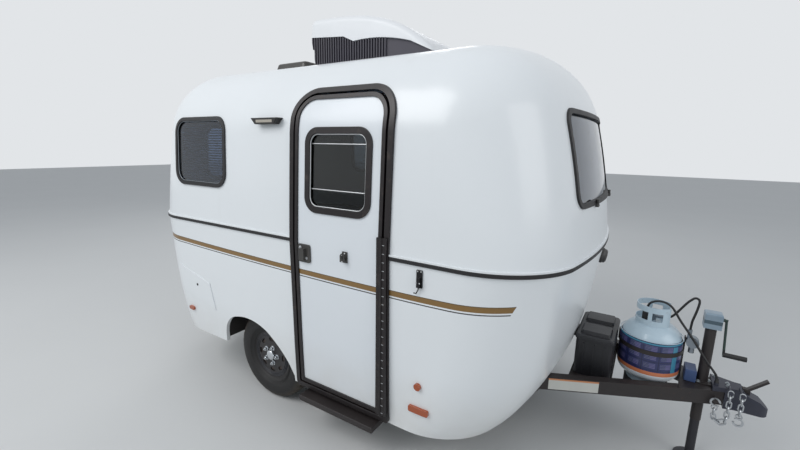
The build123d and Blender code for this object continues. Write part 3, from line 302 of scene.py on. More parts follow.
class Value:
    """Shader or geometry socket that takes part in sums like a number"""

    def __init__(self, graph, socket):
        self.graph = graph
        self.socket = socket

    def math(self, operation, *values, clamp=False):
        """Math node of this kind on the given values"""
        settings = {"operation": operation, "use_clamp": clamp}
        return self.graph.node("ShaderNodeMath", settings, dict(enumerate(values)))

    def __add__(self, other):
        return self.math("ADD", self, other)

    __radd__ = __add__

    def __sub__(self, other):
        return self.math("SUBTRACT", self, other)

    def __rsub__(self, other):
        return self.math("SUBTRACT", other, self)

    def __mul__(self, other):
        return self.math("MULTIPLY", self, other)

    __rmul__ = __mul__

    def __gt__(self, other):
        return self.math("GREATER_THAN", self, other)

    def __lt__(self, other):
        return self.math("LESS_THAN", self, other)

    def __abs__(self):
        return self.math("ABSOLUTE", self)

    def __pow__(self, other):
        return self.math("POWER", self, other)

    def between(self, low, high):
        """1 where the value lies between two limits, otherwise 0"""
        return (self > low) * (self < high)

    def clamped(self):
        """The value held between 0 and 1"""
        return self.math("ADD", self, 0.0, clamp=True)

    def modulo(self, other):
        """The rest after division, never negative"""
        return self.math("FLOORED_MODULO", self, other)

    def sine(self):
        """Wave along the value"""
        return self.math("SINE", self)


class Graph:
    """Node tree under construction"""

    def __init__(self, tree):
        self.tree = tree
        tree.nodes.clear()

    def feed(self, socket, value):
        """Links a value to a socket, or sets it there"""
        if isinstance(value, Value):
            self.tree.links.new(value.socket, socket)
        else:
            socket.default_value = value

    def node(self, kind, settings=None, values=None, output=0):
        """One node with its settings made first, then its sockets fed"""
        made = self.tree.nodes.new(kind)
        for name, setting in (settings or {}).items():
            setattr(made, name, setting)
        for key, value in (values or {}).items():
            self.feed(made.inputs[key], value)
        return Value(self, made.outputs[output])


class Paint(Graph):
    """Material whose pattern lies on the object's own coordinates"""

    def __init__(self, name):
        self.material = bpy.data.materials.new(name)
        self.material.use_nodes = True
        super().__init__(self.material.node_tree)
        self.shader = self.tree.nodes.new("ShaderNodeBsdfPrincipled")
        output = self.tree.nodes.new("ShaderNodeOutputMaterial")
        self.tree.links.new(self.shader.outputs["BSDF"], output.inputs["Surface"])
        self.place = self.node("ShaderNodeTexCoord", output="Object")
        self.x, self.y, self.z = (
            self.node("ShaderNodeSeparateXYZ", values={0: self.place}, output=axis) for axis in "XYZ"
        )

    def noise(self, scale, detail=3.0, stretch=None):
        """Smooth noise from 0 to 1, its place stretched along the axes where asked"""
        place = self.place
        if stretch:
            place = self.node("ShaderNodeVectorMath", {"operation": "MULTIPLY"}, {0: place, 1: stretch})
        values = {"Vector": place, "Scale": scale, "Detail": detail}
        return self.node("ShaderNodeTexNoise", values=values, output="Fac")

    def cells(self, scale):
        """Distance to the nearest of scattered points"""
        values = {"Vector": self.place, "Scale": scale}
        return self.node("ShaderNodeTexVoronoi", values=values, output="Distance")

    def mix(self, share, first, second):
        """Colour between two colours"""
        first, second = (c if isinstance(c, Value) else (*c, 1) for c in (first, second))
        return self.node("ShaderNodeMix", {"data_type": "RGBA"}, {0: share, 6: first, 7: second}, 2)

    def finish(self, colour, roughness, metallic=0.0, bump=None, distance=0.001, strength=0.5, **constant):
        """Feeds the shader and gives the material back"""
        self.feed(self.shader.inputs["Base Color"], colour)
        self.feed(self.shader.inputs["Roughness"], roughness)
        self.feed(self.shader.inputs["Metallic"], metallic)
        if bump is not None:
            values = {"Height": bump, "Distance": distance, "Strength": strength}
            self.feed(self.shader.inputs["Normal"], self.node("ShaderNodeBump", values=values))
        for name, value in constant.items():
            self.shader.inputs[name.replace("_", " ")].default_value = value
        return self.material


def shaded(colour, share):
    """A colour made darker or lighter by a share"""
    return tuple(min(1.0, max(0.0, c * share)) for c in colour)


# Finishes


def striped(paint, base, finishes):
    """A base with the stripe, its dark upper edge and the thin line under it, cut at a slant"""
    past = paint.x - nose_rise_x
    past = past.math("MAXIMUM", past, 0.0)
    top = stripe_top + stripe_bow * (paint.x * paint.x) + nose_rise * (past * past)
    under = top - paint.z
    ends = paint.x < stripe_end_x - 0.5 * under
    drawn = paint.noise(5, 3, (0.4, 0.4, 9.0))
    gold = paint.mix(drawn, shaded(finishes.stripe, 0.82), shaded(finishes.stripe, 1.25))
    base = paint.mix(under.between(0.0, stripe_width) * ends, base, gold)
    base = paint.mix(under.between(0.0, stripe_edge) * ends * 0.72, base, finishes.pinstripe)
    return paint.mix(under.between(*thin_line) * ends, base, finishes.pinstripe)


def gelcoat(name, colour, finishes=None):
    """Glossy moulded shell with faint waves, dust low down, and the stripe where finishes are given"""
    paint = Paint(name)
    cloud = paint.noise(1.6, 4)
    base = paint.mix(cloud, shaded(colour, 0.965), shaded(colour, 1.02))
    dust = ((0.62 - paint.z) * 2.2).clamped() * (paint.noise(7, 5) * 0.55)
    base = paint.mix(dust, base, paint_colour(186, 176, 158))
    streaks = ((paint.noise(9, 2, (1.0, 1.0, 0.06)) - 0.62) * 2.4).clamped()
    base = paint.mix(streaks * 0.10, base, paint_colour(150, 146, 138))
    if finishes:
        base = striped(paint, base, finishes)
    wave = paint.noise(3.2, 2) * 0.7 + paint.noise(42, 3) * 0.03
    return paint.finish(
        base, 0.26 + 0.12 * cloud + 0.3 * dust, bump=wave, distance=0.004, strength=0.25,
        Coat_Weight=0.3, Coat_Roughness=0.16,
    )


def anodised(name, colour, metal=0.2):
    """Dark extruded frame, rubbed lighter in places, with the fine lines of its drawing"""
    paint = Paint(name)
    worn = ((paint.noise(26, 5) - 0.58) * 5).clamped()
    drawn = paint.noise(60, 2, (1.0, 1.0, 0.05))
    base = paint.mix(drawn * 0.5, shaded(colour, 0.7), shaded(colour, 1.35))
    base = paint.mix(worn * 0.3, base, paint_colour(104, 90, 80))
    rough = 0.32 + 0.2 * worn + 0.1 * drawn
    return paint.finish(base, rough, metal, bump=drawn, distance=0.0006, strength=0.35)


def rubber(name, colour, grain=360):
    """Black rubber or plastic trim with a chalky bloom and a fine grain"""
    paint = Paint(name)
    bloom = paint.noise(9, 5)
    base = paint.mix((bloom - 0.45).clamped(), colour, shaded(colour, 2.2))
    return paint.finish(
        base, 0.42 + 0.25 * bloom, bump=paint.noise(grain, 2), distance=0.0005, strength=0.3
    )


def dark_paint(name, colour, rust=0.35):
    """Chassis paint with stone chips, rust at the chips and road dust"""
    paint = Paint(name)
    chips = ((0.16 - paint.cells(38)) * 9).clamped() * ((paint.noise(6, 4) - 0.5) * 5).clamped()
    dust = paint.noise(4, 6)
    base = paint.mix(dust * 0.2, colour, paint_colour(92, 80, 72))
    base = paint.mix(chips * rust, base, paint_colour(120, 72, 44))
    skin = paint.noise(130, 3) - chips * 0.6
    return paint.finish(base, 0.38 + 0.3 * dust, bump=skin, distance=0.0006, strength=0.4)


def bare_metal(name, colour, roughness=0.32, stretch=(1.0, 1.0, 1.0)):
    """Plated or brushed metal with smears"""
    paint = Paint(name)
    brush = paint.noise(70, 3, stretch)
    smear = paint.noise(8, 4)
    base = paint.mix(smear * 0.6, colour, shaded(colour, 0.62))
    return paint.finish(base, roughness + 0.22 * smear, 0.85, bump=brush, distance=0.0004, strength=0.3)


def hard_plastic(name, colour, roughness=0.35, speckle=0.25):
    """Moulded plastic with a fine orange peel and a little dust"""
    paint = Paint(name)
    cloud = paint.noise(5, 5)
    base = paint.mix(cloud * speckle, colour, paint_colour(150, 146, 138))
    peel = paint.noise(160, 2)
    return paint.finish(base, roughness + 0.2 * cloud, bump=peel, distance=0.0005, strength=0.3)


def glazing(name, tint_and_painted_sky):
    """Coloured pane with a faint haze and a slight wave; on the window panes the pale blue colour is painted sky
    reflection
    """
    paint = Paint(name)
    haze = paint.noise(6, 4)
    base = paint.mix(haze * 0.25, tint_and_painted_sky, shaded(tint_and_painted_sky, 1.5))
    return paint.finish(
        base, 0.02 + 0.05 * haze, bump=paint.noise(1.4, 1), distance=0.002, strength=0.12,
        Transmission_Weight=1.0, IOR=1.5,
    )


def lamp(name, colour, ridges):
    """Moulded lens with a prism pattern behind a smooth face"""
    paint = Paint(name)
    prisms = ((paint.x + paint.y * 0.3) * ridges).sine() * (paint.z * ridges).sine()
    pattern = prisms * 0.5 + 0.5
    base = paint.mix(pattern, shaded(colour, 0.6), shaded(colour, 1.15))
    return paint.finish(base, 0.12 + 0.1 * pattern, bump=pattern, Coat_Weight=0.6)


def wood(name, colour):
    """Veneered board with its grain along X"""
    paint = Paint(name)
    grain = paint.noise(6, 6, (0.8, 12.0, 12.0))
    pores = paint.noise(40, 4, (0.4, 6.0, 6.0))
    base = paint.mix(grain, shaded(colour, 0.6), shaded(colour, 1.3))
    return paint.finish(base, 0.4 + 0.2 * pores, bump=pores, distance=0.0006, strength=0.4)


def tyre_rubber(name):
    """Tyre rubber, dusty on the tread, with fine rings on its side walls"""
    paint = Paint(name)
    out = paint.x - axle_x
    up = paint.z - tyre_radius
    reach = (out * out + up * up) ** 0.5
    dust = ((reach - tread_foot) * 22).clamped() * (paint.noise(16, 5) * 0.8)
    base = paint.mix(paint.noise(11, 4) * 0.6, paint_colour(20, 20, 21), paint_colour(40, 38, 37))
    base = paint.mix(dust, base, paint_colour(104, 94, 80))
    ribs = (reach * 520).sine() * reach.between(side_wall_foot, tread_foot)
    skin = ribs * 0.5 + paint.noise(220, 2) * 0.4
    return paint.finish(base, 0.62 + 0.2 * dust, bump=skin, distance=0.0012, strength=0.6)


def bottle_paint(finishes):
    """Powder coated bottle with a plain printed wrap round its middle"""
    paint = Paint("bottle paint")
    scuffs = ((paint.noise(22, 6) - 0.64) * 7).clamped()
    coat = paint.mix(paint.noise(3, 3), shaded(finishes.bottle, 0.94), shaded(finishes.bottle, 1.05))
    coat = paint.mix(scuffs * 0.4, coat, paint_colour(120, 118, 112))
    side = paint.x - bottle_x
    turn = side.math("ARCTAN2", side, 0.0 - paint.y)
    height = paint.z - tray_z
    wrap = height.between(0.046, 0.282) * (side * side + paint.y * paint.y > 0.0178)
    row = (height - 0.118).modulo(0.050)
    column = (turn + 0.22).modulo(0.52)
    gaps = ((row < 0.004) + (column < 0.028)).clamped()
    blocks = column.between(0.07, 0.44) * row.between(0.012, 0.042)
    label = finishes.label_navy
    for share, colour in (
        ((column > 0.26) * blocks * 0.30, paint_colour(96, 84, 150)),
        ((row.modulo(0.008) < 0.003) * blocks * 0.22, paint_colour(196, 196, 220)),
        (gaps * 0.55, paint_colour(18, 20, 40)),
        ((abs(turn - 0.86) < 0.10) * 0.85, finishes.label_teal),
        (height < 0.110, finishes.label_orange),
        (height < 0.088, paint_colour(222, 228, 232)),
        (height > 0.262, paint_colour(26, 46, 88)),
        (height.between(0.267, 0.274), finishes.label_teal),
    ):
        label = paint.mix(share, label, colour)
    return paint.finish(
        paint.mix(wrap, coat, label), 0.30 + 0.25 * scuffs, bump=paint.noise(120, 3),
        distance=0.0006, strength=0.4, Coat_Weight=0.2,
    )


def jack_head_paint():
    """Plated gear head with a dark band of painted shade for its slots, dark crank arm and black grip, told apart by
    their places
    """
    paint = Paint("jack head finishes")
    ahead = paint.x - body_nose
    head = ahead < 0.600
    grip = (ahead > 0.622) * (paint.z < 0.69)
    plate = paint.mix(paint.noise(14, 5), paint_colour(118, 138, 154), paint_colour(166, 182, 194))
    base = paint.mix(head, paint_colour(58, 74, 70), plate)
    base = paint.mix(grip, base, paint_colour(24, 24, 25))
    # Dark band round the head: painted shade standing for the slots
    base = paint.mix(paint.z.between(0.828, 0.848) * head * 0.75, base, paint_colour(46, 66, 74))
    skin = (ahead * 900).sine() * grip * 0.4 + paint.noise(90, 3) * 0.3
    return paint.finish(base, 0.34 + 0.2 * grip, 0.5 - 0.5 * grip, bump=skin, distance=0.0012)


def porch_lamp_paint():
    """Dark lamp housing with a pale lens strip on its face"""
    paint = Paint("porch lamp")
    strip = paint.x.between(-0.628, -0.492) * paint.z.between(1.842, 1.857)
    housing = paint.mix(paint.noise(30, 3), paint_colour(24, 22, 22), paint_colour(40, 36, 34))
    base = paint.mix(strip, housing, paint_colour(172, 166, 154))
    ribs = (paint.x * 900).sine() * strip
    return paint.finish(base, 0.3, bump=ribs, distance=0.0008, strength=0.4)


def plate_paint():
    """Blank pale plate with an orange band along its top"""
    paint = Paint("rail plate")
    base = paint.mix(paint.z > 0.464, paint_colour(208, 208, 200), paint_colour(206, 130, 74))
    base = paint.mix(paint.noise(14, 4) * 0.35, base, paint_colour(150, 150, 146))
    return paint.finish(base, 0.4, bump=paint.noise(90, 2), distance=0.0004, strength=0.3)


# Mesh helpers


def merged(node):
    """New mesh work from a CAD node, its loose triangles joined"""
    work = bmesh.new()
    work.from_mesh(nodes[node].data)
    bmesh.ops.remove_doubles(work, verts=work.verts, dist=0.00002)
    return work


def flattened(work):
    """Joins the triangles of flat faces, so that only real edges are rounded"""
    limit = math.radians(0.6)
    bmesh.ops.dissolve_limit(work, angle_limit=limit, verts=work.verts, edges=work.edges)


def make_piece(name, work, material, body, slot, sharp=35):
    """Object from mesh work, smooth but for its sharp edges, riding on its body"""
    mesh = bpy.data.meshes.new(name)
    for face in work.faces:
        face.smooth = True
    limit = math.radians(sharp)
    for edge in work.edges:
        edge.smooth = not (edge.is_manifold and edge.calc_face_angle(0) > limit)
    work.to_mesh(mesh)
    work.free()
    for leftover in ("custom_normal", "UVMap"):
        if leftover in mesh.attributes:
            mesh.attributes.remove(mesh.attributes[leftover])
    mesh.materials.append(material)
    piece = bpy.data.objects.new(name, mesh)
    bpy.context.scene.collection.objects.link(piece)
    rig.ride(piece, body)
    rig.slot(piece, slot)
    return piece


def round_edges(piece, width, segments=2):
    """Bevel on the piece's sharp edges"""
    bevel = piece.modifiers.new("rounded edges", "BEVEL")
    bevel.width = width
    bevel.segments = segments
    bevel.limit_method = "ANGLE"
    bevel.angle_limit = math.radians(30)
    bevel.use_clamp_overlap = True
    bevel.harden_normals = True


def dress(node, material, edge=0.0, sharp=35, segments=2):
    """Joined and rounded copy of a CAD node that stands for it"""
    work = merged(node)
    if edge:
        flattened(work)
    piece = make_piece(f"{node}_dressed", work, material, body_of[node], slot_of[node], sharp)
    if edge:
        round_edges(piece, edge, segments)
    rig.replaces(piece, node)
    return piece


def wall_finder(*names):
    """Search tree over the outside of some CAD nodes"""
    corners = []
    faces = []
    for name in names:
        mesh = nodes[name].data
        start = len(corners)
        corners += [tuple(vertex.co) for vertex in mesh.vertices]
        faces += [[start + index for index in polygon.vertices] for polygon in mesh.polygons]
    return BVHTree.FromPolygons(corners, faces)


def on_wall(finder, start, way):
    """Point and outward direction where a line from outside meets the wall"""
    place, normal, _, _ = finder.ray_cast(Vector(start), Vector(way))
    if place is None:
        raise RuntimeError(f"no wall along {way} from {start}")
    return place, normal


def on_side(finder, x, z, side=-1):
    """The same along a level line from the right or the left"""
    return on_wall(finder, (x, side * well_clear, z), (0, -side, 0))


def on_nose(finder, y, z):
    """The same along a level line from ahead"""
    return on_wall(finder, (well_clear, y, z), (-1, 0, 0))


def side_spot(finder, x, z, side=-1):
    """Mark on a side wall for a small piece"""
    return (*on_side(finder, x, z, side), level)


def rounded_ring(middle_x, middle_z, width, height, corner):
    """Points round a rounded oblong in the side view"""
    steps = 8
    ring = []
    for quarter in range(4):
        corner_x = middle_x + (width / 2 - corner) * (1 if quarter in (0, 3) else -1)
        corner_z = middle_z + (height / 2 - corner) * (1 if quarter in (0, 1) else -1)
        for step in range(steps + 1):
            angle = math.pi / 2 * (quarter + step / steps)
            ring.append((corner_x + corner * math.cos(angle), corner_z + corner * math.sin(angle)))
    return ring


def bead_line(finder, ring, side, proud):
    """The ring laid on the pane inside it and lifted off that by a distance"""
    inside = 0.97
    middle_x = sum(x for x, _ in ring) / len(ring)
    middle_z = sum(z for _, z in ring) / len(ring)
    line = []
    for x, z in ring:
        pane_x = middle_x + (x - middle_x) * inside
        place, _ = on_side(finder, pane_x, middle_z + (z - middle_z) * inside, side)
        line.append(Vector((x, place.y + side * proud, z)))
    return line


def circle(middle, across, upward, radius, steps):
    """Points round a circle in the plane of two directions"""
    middle, across, upward = Vector(middle), Vector(across), Vector(upward)
    turns = [2 * math.pi * step / steps for step in range(steps)]
    return [middle + (across * math.cos(turn) + upward * math.sin(turn)) * radius for turn in turns]


def skinned(rings, closed=False):
    """Mesh work over rings of points, its ends shut unless the last ring meets the first"""
    work = bmesh.new()
    rings = [[work.verts.new(place) for place in ring] for ring in rings]
    for first, second in zip(rings, rings[1:] + rings[:1] if closed else rings[1:]):
        for step in range(len(first)):
            after = (step + 1) % len(first)
            work.faces.new((first[step], first[after], second[after], second[step]))
    if not closed:
        work.faces.new(rings[0][::-1])
        work.faces.new(rings[-1])
    bmesh.ops.recalc_face_normals(work, faces=work.faces)
    return work


def turned(name, middle, axis, across, profile, steps, material, body, slot, sharp=40):
    """Solid turned on a lathe, its profile a list of rises along the axis and radii"""
    middle, axis, across = Vector(middle), Vector(axis), Vector(across)
    upward = axis.cross(across)
    rings = [circle(middle + axis * rise, across, upward, radius, steps) for rise, radius in profile]
    return make_piece(name, skinned(rings), material, body, slot, sharp)


def tube(name, path, radius, material, body, slot, closed=False, sides=8):
    """Round bar along a list of points"""
    points = [Vector(point) for point in path]
    count = len(points)
    rings = []
    side = None
    for index, point in enumerate(points):
        before = points[index - 1] if index or closed else point
        after = points[(index + 1) % count] if index < count - 1 or closed else point
        along = (after - before).normalized()
        if side is None:
            side = along.orthogonal().normalized()
        side = (side - along * side.dot(along)).normalized()
        rings.append(circle(point, side, along.cross(side), radius, sides))
    return make_piece(name, skinned(rings, closed), material, body, slot, 50)


# Geometry trees that repeat a small form on marked points


class Grower(Graph):
    """Geometry tree that sets one form on each point of a mesh and ends in a plain mesh"""

    def __init__(self, name, sizes):
        tree = bpy.data.node_groups.new(name, "GeometryNodeTree")
        super().__init__(tree)
        tree.interface.new_socket("Geometry", in_out="OUTPUT", socket_type="NodeSocketGeometry")
        tree.interface.new_socket("Geometry", in_out="INPUT", socket_type="NodeSocketGeometry")
        tree.interface.new_socket("Material", in_out="INPUT", socket_type="NodeSocketMaterial")
        for size in sizes:
            tree.interface.new_socket(size, in_out="INPUT", socket_type="NodeSocketFloat")
        self.entry = tree.nodes.new("NodeGroupInput")

    def given(self, name):
        """One named input of the tree"""
        return Value(self, self.entry.outputs[name])

    def vector(self, x=0.0, y=0.0, z=0.0):
        """Vector from three values"""
        return self.node("ShaderNodeCombineXYZ", values={"X": x, "Y": y, "Z": z})

    def end(self, form):
        """Sets the form on every point, turned by the point's own marks"""
        along, flat = (
            self.node("GeometryNodeInputNamedAttribute", {"data_type": "FLOAT_VECTOR"}, {"Name": mark})
            for mark in ("along", "level")
        )
        turn = self.node(
            "FunctionNodeAxesToRotation",
            {"primary_axis": "Z", "secondary_axis": "X"},
            {"Primary Axis": along, "Secondary Axis": flat},
        )
        placed = self.node(
            "GeometryNodeInstanceOnPoints",
            values={"Points": self.given("Geometry"), "Instance": form, "Rotation": turn},
        )
        real = self.node("GeometryNodeRealizeInstances", values={"Geometry": placed})
        coated = self.node(
            "GeometryNodeSetMaterial", values={"Geometry": real, "Material": self.given("Material")}
        )
        output = self.tree.nodes.new("NodeGroupOutput")
        self.feed(output.inputs["Geometry"], coated)
        return self.tree


def screw_tree():
    """Domed screw head standing up from its point"""
    grow = Grower("screw heads", ("Radius", "Rise"))
    ball = grow.node("GeometryNodeMeshUVSphere", values={"Segments": 10, "Rings": 6, "Radius": 1.0})
    size = grow.vector(grow.given("Radius"), grow.given("Radius"), grow.given("Rise"))
    return grow.end(grow.node("GeometryNodeTransform", values={"Geometry": ball, "Scale": size}))


def nut_tree():
    """Six sided nut on its washer, with a round end of its stud"""
    grow = Grower("nuts", ("Radius", "Rise"))
    join = grow.tree.nodes.new("GeometryNodeJoinGeometry")
    for sides, width, depth, lift in ((6, 1.0, 1.0, 0.5), (10, 0.5, 1.0, 0.95), (16, 1.35, 0.3, 0.12)):
        form = grow.node(
            "GeometryNodeMeshCylinder",
            values={
                "Vertices": sides,
                "Radius": grow.given("Radius") * width,
                "Depth": grow.given("Rise") * depth,
            },
        )
        shift = grow.vector(z=grow.given("Rise") * lift)
        form = grow.node("GeometryNodeTransform", values={"Geometry": form, "Translation": shift})
        grow.tree.links.new(form.socket, join.inputs[0])
    return grow.end(Value(grow, join.outputs[0]))


def slat_tree():
    """Flat slat, its length along the point's level mark"""
    grow = Grower("slats", ("Length", "Width", "Thickness"))
    size = grow.vector(grow.given("Length"), grow.given("Width"), grow.given("Thickness"))
    return grow.end(grow.node("GeometryNodeMeshCube", values={"Size": size}))


def link_tree():
    """Chain link of round wire, its length along the point's level mark"""
    grow = Grower("chain links", ("Length", "Width", "Wire"))
    flat = grow.node(
        "GeometryNodeCurvePrimitiveQuadrilateral",
        values={"Width": grow.given("Length"), "Height": grow.given("Width")},
    )
    ring = grow.node(
        "GeometryNodeFilletCurve",
        {"mode": "POLY"},
        {"Curve": flat, "Count": 5, "Radius": grow.given("Width") * 0.48},
    )
    section = grow.node(
        "GeometryNodeCurvePrimitiveCircle",
        values={"Resolution": 8, "Radius": grow.given("Wire") * 0.5},
    )
    return grow.end(
        grow.node("GeometryNodeCurveToMesh", values={"Curve": ring, "Profile Curve": section})
    )


def grow_piece(name, tree, spots, material, body, slot, **sizes):
    """Plain mesh piece that a tree sets on spots, each a place, the way up from it and a level way"""
    seeds = bpy.data.meshes.new(f"{name} seeds")
    seeds.from_pydata([tuple(spot[0]) for spot in spots], [], [])
    for mark, column in (("along", 1), ("level", 2)):
        attribute = seeds.attributes.new(mark, "FLOAT_VECTOR", "POINT")
        attribute.data.foreach_set("vector", [c for spot in spots for c in spot[column]])
    holder = bpy.data.objects.new(f"{name} seeds", seeds)
    bpy.context.scene.collection.objects.link(holder)
    modifier = holder.modifiers.new("grow", "NODES")
    modifier.node_group = tree
    for item in tree.interface.items_tree:
        if item.in_out == "INPUT" and item.name == "Material":
            modifier[item.identifier] = material
        elif item.in_out == "INPUT" and item.name in sizes:
            modifier[item.identifier] = float(sizes[item.name])
    depsgraph = bpy.context.evaluated_depsgraph_get()
    grown = bpy.data.meshes.new_from_object(holder.evaluated_get(depsgraph), depsgraph=depsgraph)
    holder.modifiers.remove(modifier)
    bpy.data.objects.remove(holder)
    work = bmesh.new()
    work.from_mesh(grown)
    bpy.data.meshes.remove(grown)
    if not work.faces:
        raise RuntimeError(f"{name} came out empty")
    bmesh.ops.recalc_face_normals(work, faces=work.faces)
    return make_piece(name, work, material, body, slot, 40)


# Operators, one for each piece or group of like pieces


class TrailerOperator:
    """What the trailer's operators share"""

    bl_options = {"REGISTER", "UNDO"}

    def execute(self, context):
        """Makes the pieces from the scene's settings"""
        self.make(context.scene.trailer_finishes, context.scene.trailer_sizes)
        return {"FINISHED"}


class TRAILER_OT_stage(bpy.types.Operator):
    """Camera, floor, backdrop colour and studio lights"""

    bl_idname = "trailer.stage"
    bl_label = "Stage"

    def execute(self, context):
        """Makes the studio"""
        scene = context.scene
        scene.view_settings.view_transform = "Standard"
        self.camera(scene)
        self.floor(scene, scene.trailer_stage)
        self.sky(scene, scene.trailer_stage)
        self.lights(scene, scene.trailer_stage)
        return {"FINISHED"}

    def camera(self, scene):
        """Camera at the photograph's place and angle"""
        yaw, pitch, roll = (math.radians(angle) for angle in (camera_yaw, camera_pitch, camera_roll))
        forward = math.cos(pitch)
        ahead = Vector((-math.sin(yaw) * forward, math.cos(yaw) * forward, -math.sin(pitch)))
        right = Vector((math.cos(yaw), math.sin(yaw), 0))
        up = right.cross(ahead)
        rolled_right = right * math.cos(roll) + up * math.sin(roll)
        rolled_up = up * math.cos(roll) - right * math.sin(roll)
        turn = Matrix((rolled_right, rolled_up, -ahead)).transposed().to_4x4()
        lens = bpy.data.cameras.new("camera")
        lens.sensor_width = sensor_mm
        lens.lens = focal_pixels * sensor_mm / photo_pixels
        lens.clip_end = 200
        camera = bpy.data.objects.new("camera", lens)
        camera.matrix_world = Matrix.Translation(camera_place) @ turn
        scene.collection.objects.link(camera)
        scene.camera = camera

    def floor(self, scene, settings):
        """Wide plain floor"""
        ground = bmesh.new()
        bmesh.ops.create_grid(ground, x_segments=8, y_segments=8, size=30)
        mesh = bpy.data.meshes.new("floor")
        ground.to_mesh(mesh)
        ground.free()
        floor = bpy.data.objects.new("floor", mesh)
        scene.collection.objects.link(floor)
        paint = Paint("studio floor")
        tone = paint.mix(paint.noise(0.8, 3), shaded(settings.floor, 0.97), shaded(settings.floor, 1.02))
        mesh.materials.append(paint.finish(tone, 0.75))
        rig.stage(floor)

    def sky(self, scene, settings):
        """Even light, and the backdrop's colour where the camera, gloss or glass sees it"""
        world = bpy.data.worlds.new("studio")
        scene.world = world
        world.use_nodes = True
        sky = Graph(world.node_tree)
        camera_ray, gloss_ray, glass_ray = (
            sky.node("ShaderNodeLightPath", output=f"Is {kind} Ray")
            for kind in ("Camera", "Glossy", "Transmission")
        )
        seen = (camera_ray + gloss_ray + glass_ray).clamped()
        pale_blue = (0.86, 0.92, 1.0, 1)
        even = sky.node("ShaderNodeBackground", values={0: pale_blue, 1: settings.sky_strength})
        backdrop = sky.node("ShaderNodeBackground", values={0: (*settings.backdrop, 1), 1: 1.0})
        both = sky.node("ShaderNodeMixShader", values={0: seen, 1: even, 2: backdrop})
        output = sky.tree.nodes.new("ShaderNodeOutputWorld")
        sky.tree.links.new(both.socket, output.inputs["Surface"])

    def lights(self, scene, settings):
        """Three large soft lamps aimed at the trailer's middle"""
        middle = Vector((0, 0, 1))
        for name, place, size, power in (
            ("key light", (-3.2, -6.0, 6.6), 5.0, settings.key_power),
            ("fill light", (6.5, -1.5, 4.0), 4.0, settings.fill_power),
            ("back light", (-4.5, 6.0, 4.5), 4.0, settings.fill_power),
        ):
            light = bpy.data.lights.new(name, "AREA")
            light.size = size
            light.energy = power
            holder = bpy.data.objects.new(name, light)
            turn = (middle - Vector(place)).to_track_quat("-Z", "Y").to_matrix().to_4x4()
            holder.matrix_world = Matrix.Translation(place) @ turn
            scene.collection.objects.link(holder)


class TRAILER_OT_cords(TrailerOperator, bpy.types.Operator):
    """Gas hose and trailer lead, as smooth free cords"""

    bl_idname = "trailer.cords"
    bl_label = "Hose and lead"

    def make(self, finishes, sizes):
        """Makes both cords from the routes of their solids, and the lead's plug and boot"""
        black = rubber("cord rubber", paint_colour(26, 26, 27), 240)
        outlet_z = tray_z + 0.384
        hose_route = (
            (0.338, 0, outlet_z), (0.364, 0, outlet_z), (0.388, -0.003, 0.828), (0.412, -0.006, 0.872),
            (0.438, -0.008, 0.917), (0.454, -0.009, 0.936), (0.462, -0.010, 0.945),
            (0.4714, -0.010, 0.9484), (0.481, -0.011, 0.9456), (0.4872, -0.011, 0.9378),
            (0.488, -0.012, 0.920), (0.484, -0.012, 0.888), (0.477, -0.012, 0.850),
            (0.468, -0.012, 0.810), (0.468, -0.012, 0.768),
        )
        lead_route = (
            (0.612, -0.045, 0.517), (0.612, -0.045, 0.547), (0.588, -0.052, 0.582),
            (0.558, -0.059, 0.620), (0.530, -0.058, 0.660), (0.502, -0.054, 0.702),
            (0.470, -0.048, 0.746), (0.440, -0.042, 0.784), (0.412, -0.039, 0.820),
            (0.390, -0.038, 0.856), (0.366, -0.042, 0.890), (0.330, -0.046, 0.908),
            (0.288, -0.046, 0.904), (0.255, -0.042, 0.876), (0.255, -0.042, 0.834),
        )
        hose_route, lead_route = (
            [(body_nose + ahead, y, z) for ahead, y, z in route] for route in (hose_route, lead_route)
        )
        plug = dress("lead_plug", rubber("plug rubber", paint_colour(30, 30, 32), 240), 0.002)
        boot_profile = ((0.0, 0.0105), (0.004, 0.0105), (0.006, 0.0092), (0.022, 0.0072), (0.024, 0.0066))
        boot = turned(
            "trailer_lead_boot", lead_route[0], upright, level, boot_profile, 16,
            black, "trailer", "cord_black", 50,
        )
        for node, route, length, far_end, extras in (
            ("gas_hose", hose_route, 0.398, "object", []),
            ("trailer_lead", lead_route, 0.616, "plug", [plug, boot]),
        ):
            cord = self.line(f"{node}_line", route, black)
            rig.ride(cord, "trailer")
            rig.slot(cord, "cord_black")
            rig.replaces(cord, node)
            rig.cord(
                cord, exit=route[0], length=length, diameter=0.012, far_end=far_end,
                stiffness="medium", lay="hanging", with_pieces=extras,
            )

    def line(self, name, route, material):
        """Round smooth curve along a route"""
        line = bpy.data.curves.new(name, "CURVE")
        line.dimensions = "3D"
        line.resolution_u = 8
        line.bevel_depth = 0.006
        line.bevel_resolution = 3
        line.use_fill_caps = True
        spline = line.splines.new("NURBS")
        spline.points.add(len(route) - 1)
        for point, place in zip(spline.points, route):
            point.co = (*place, 1)
        spline.order_u = 3
        spline.use_endpoint_u = True
        line.materials.append(material)
        cord = bpy.data.objects.new(name, line)
        bpy.context.scene.collection.objects.link(cord)
        return cord


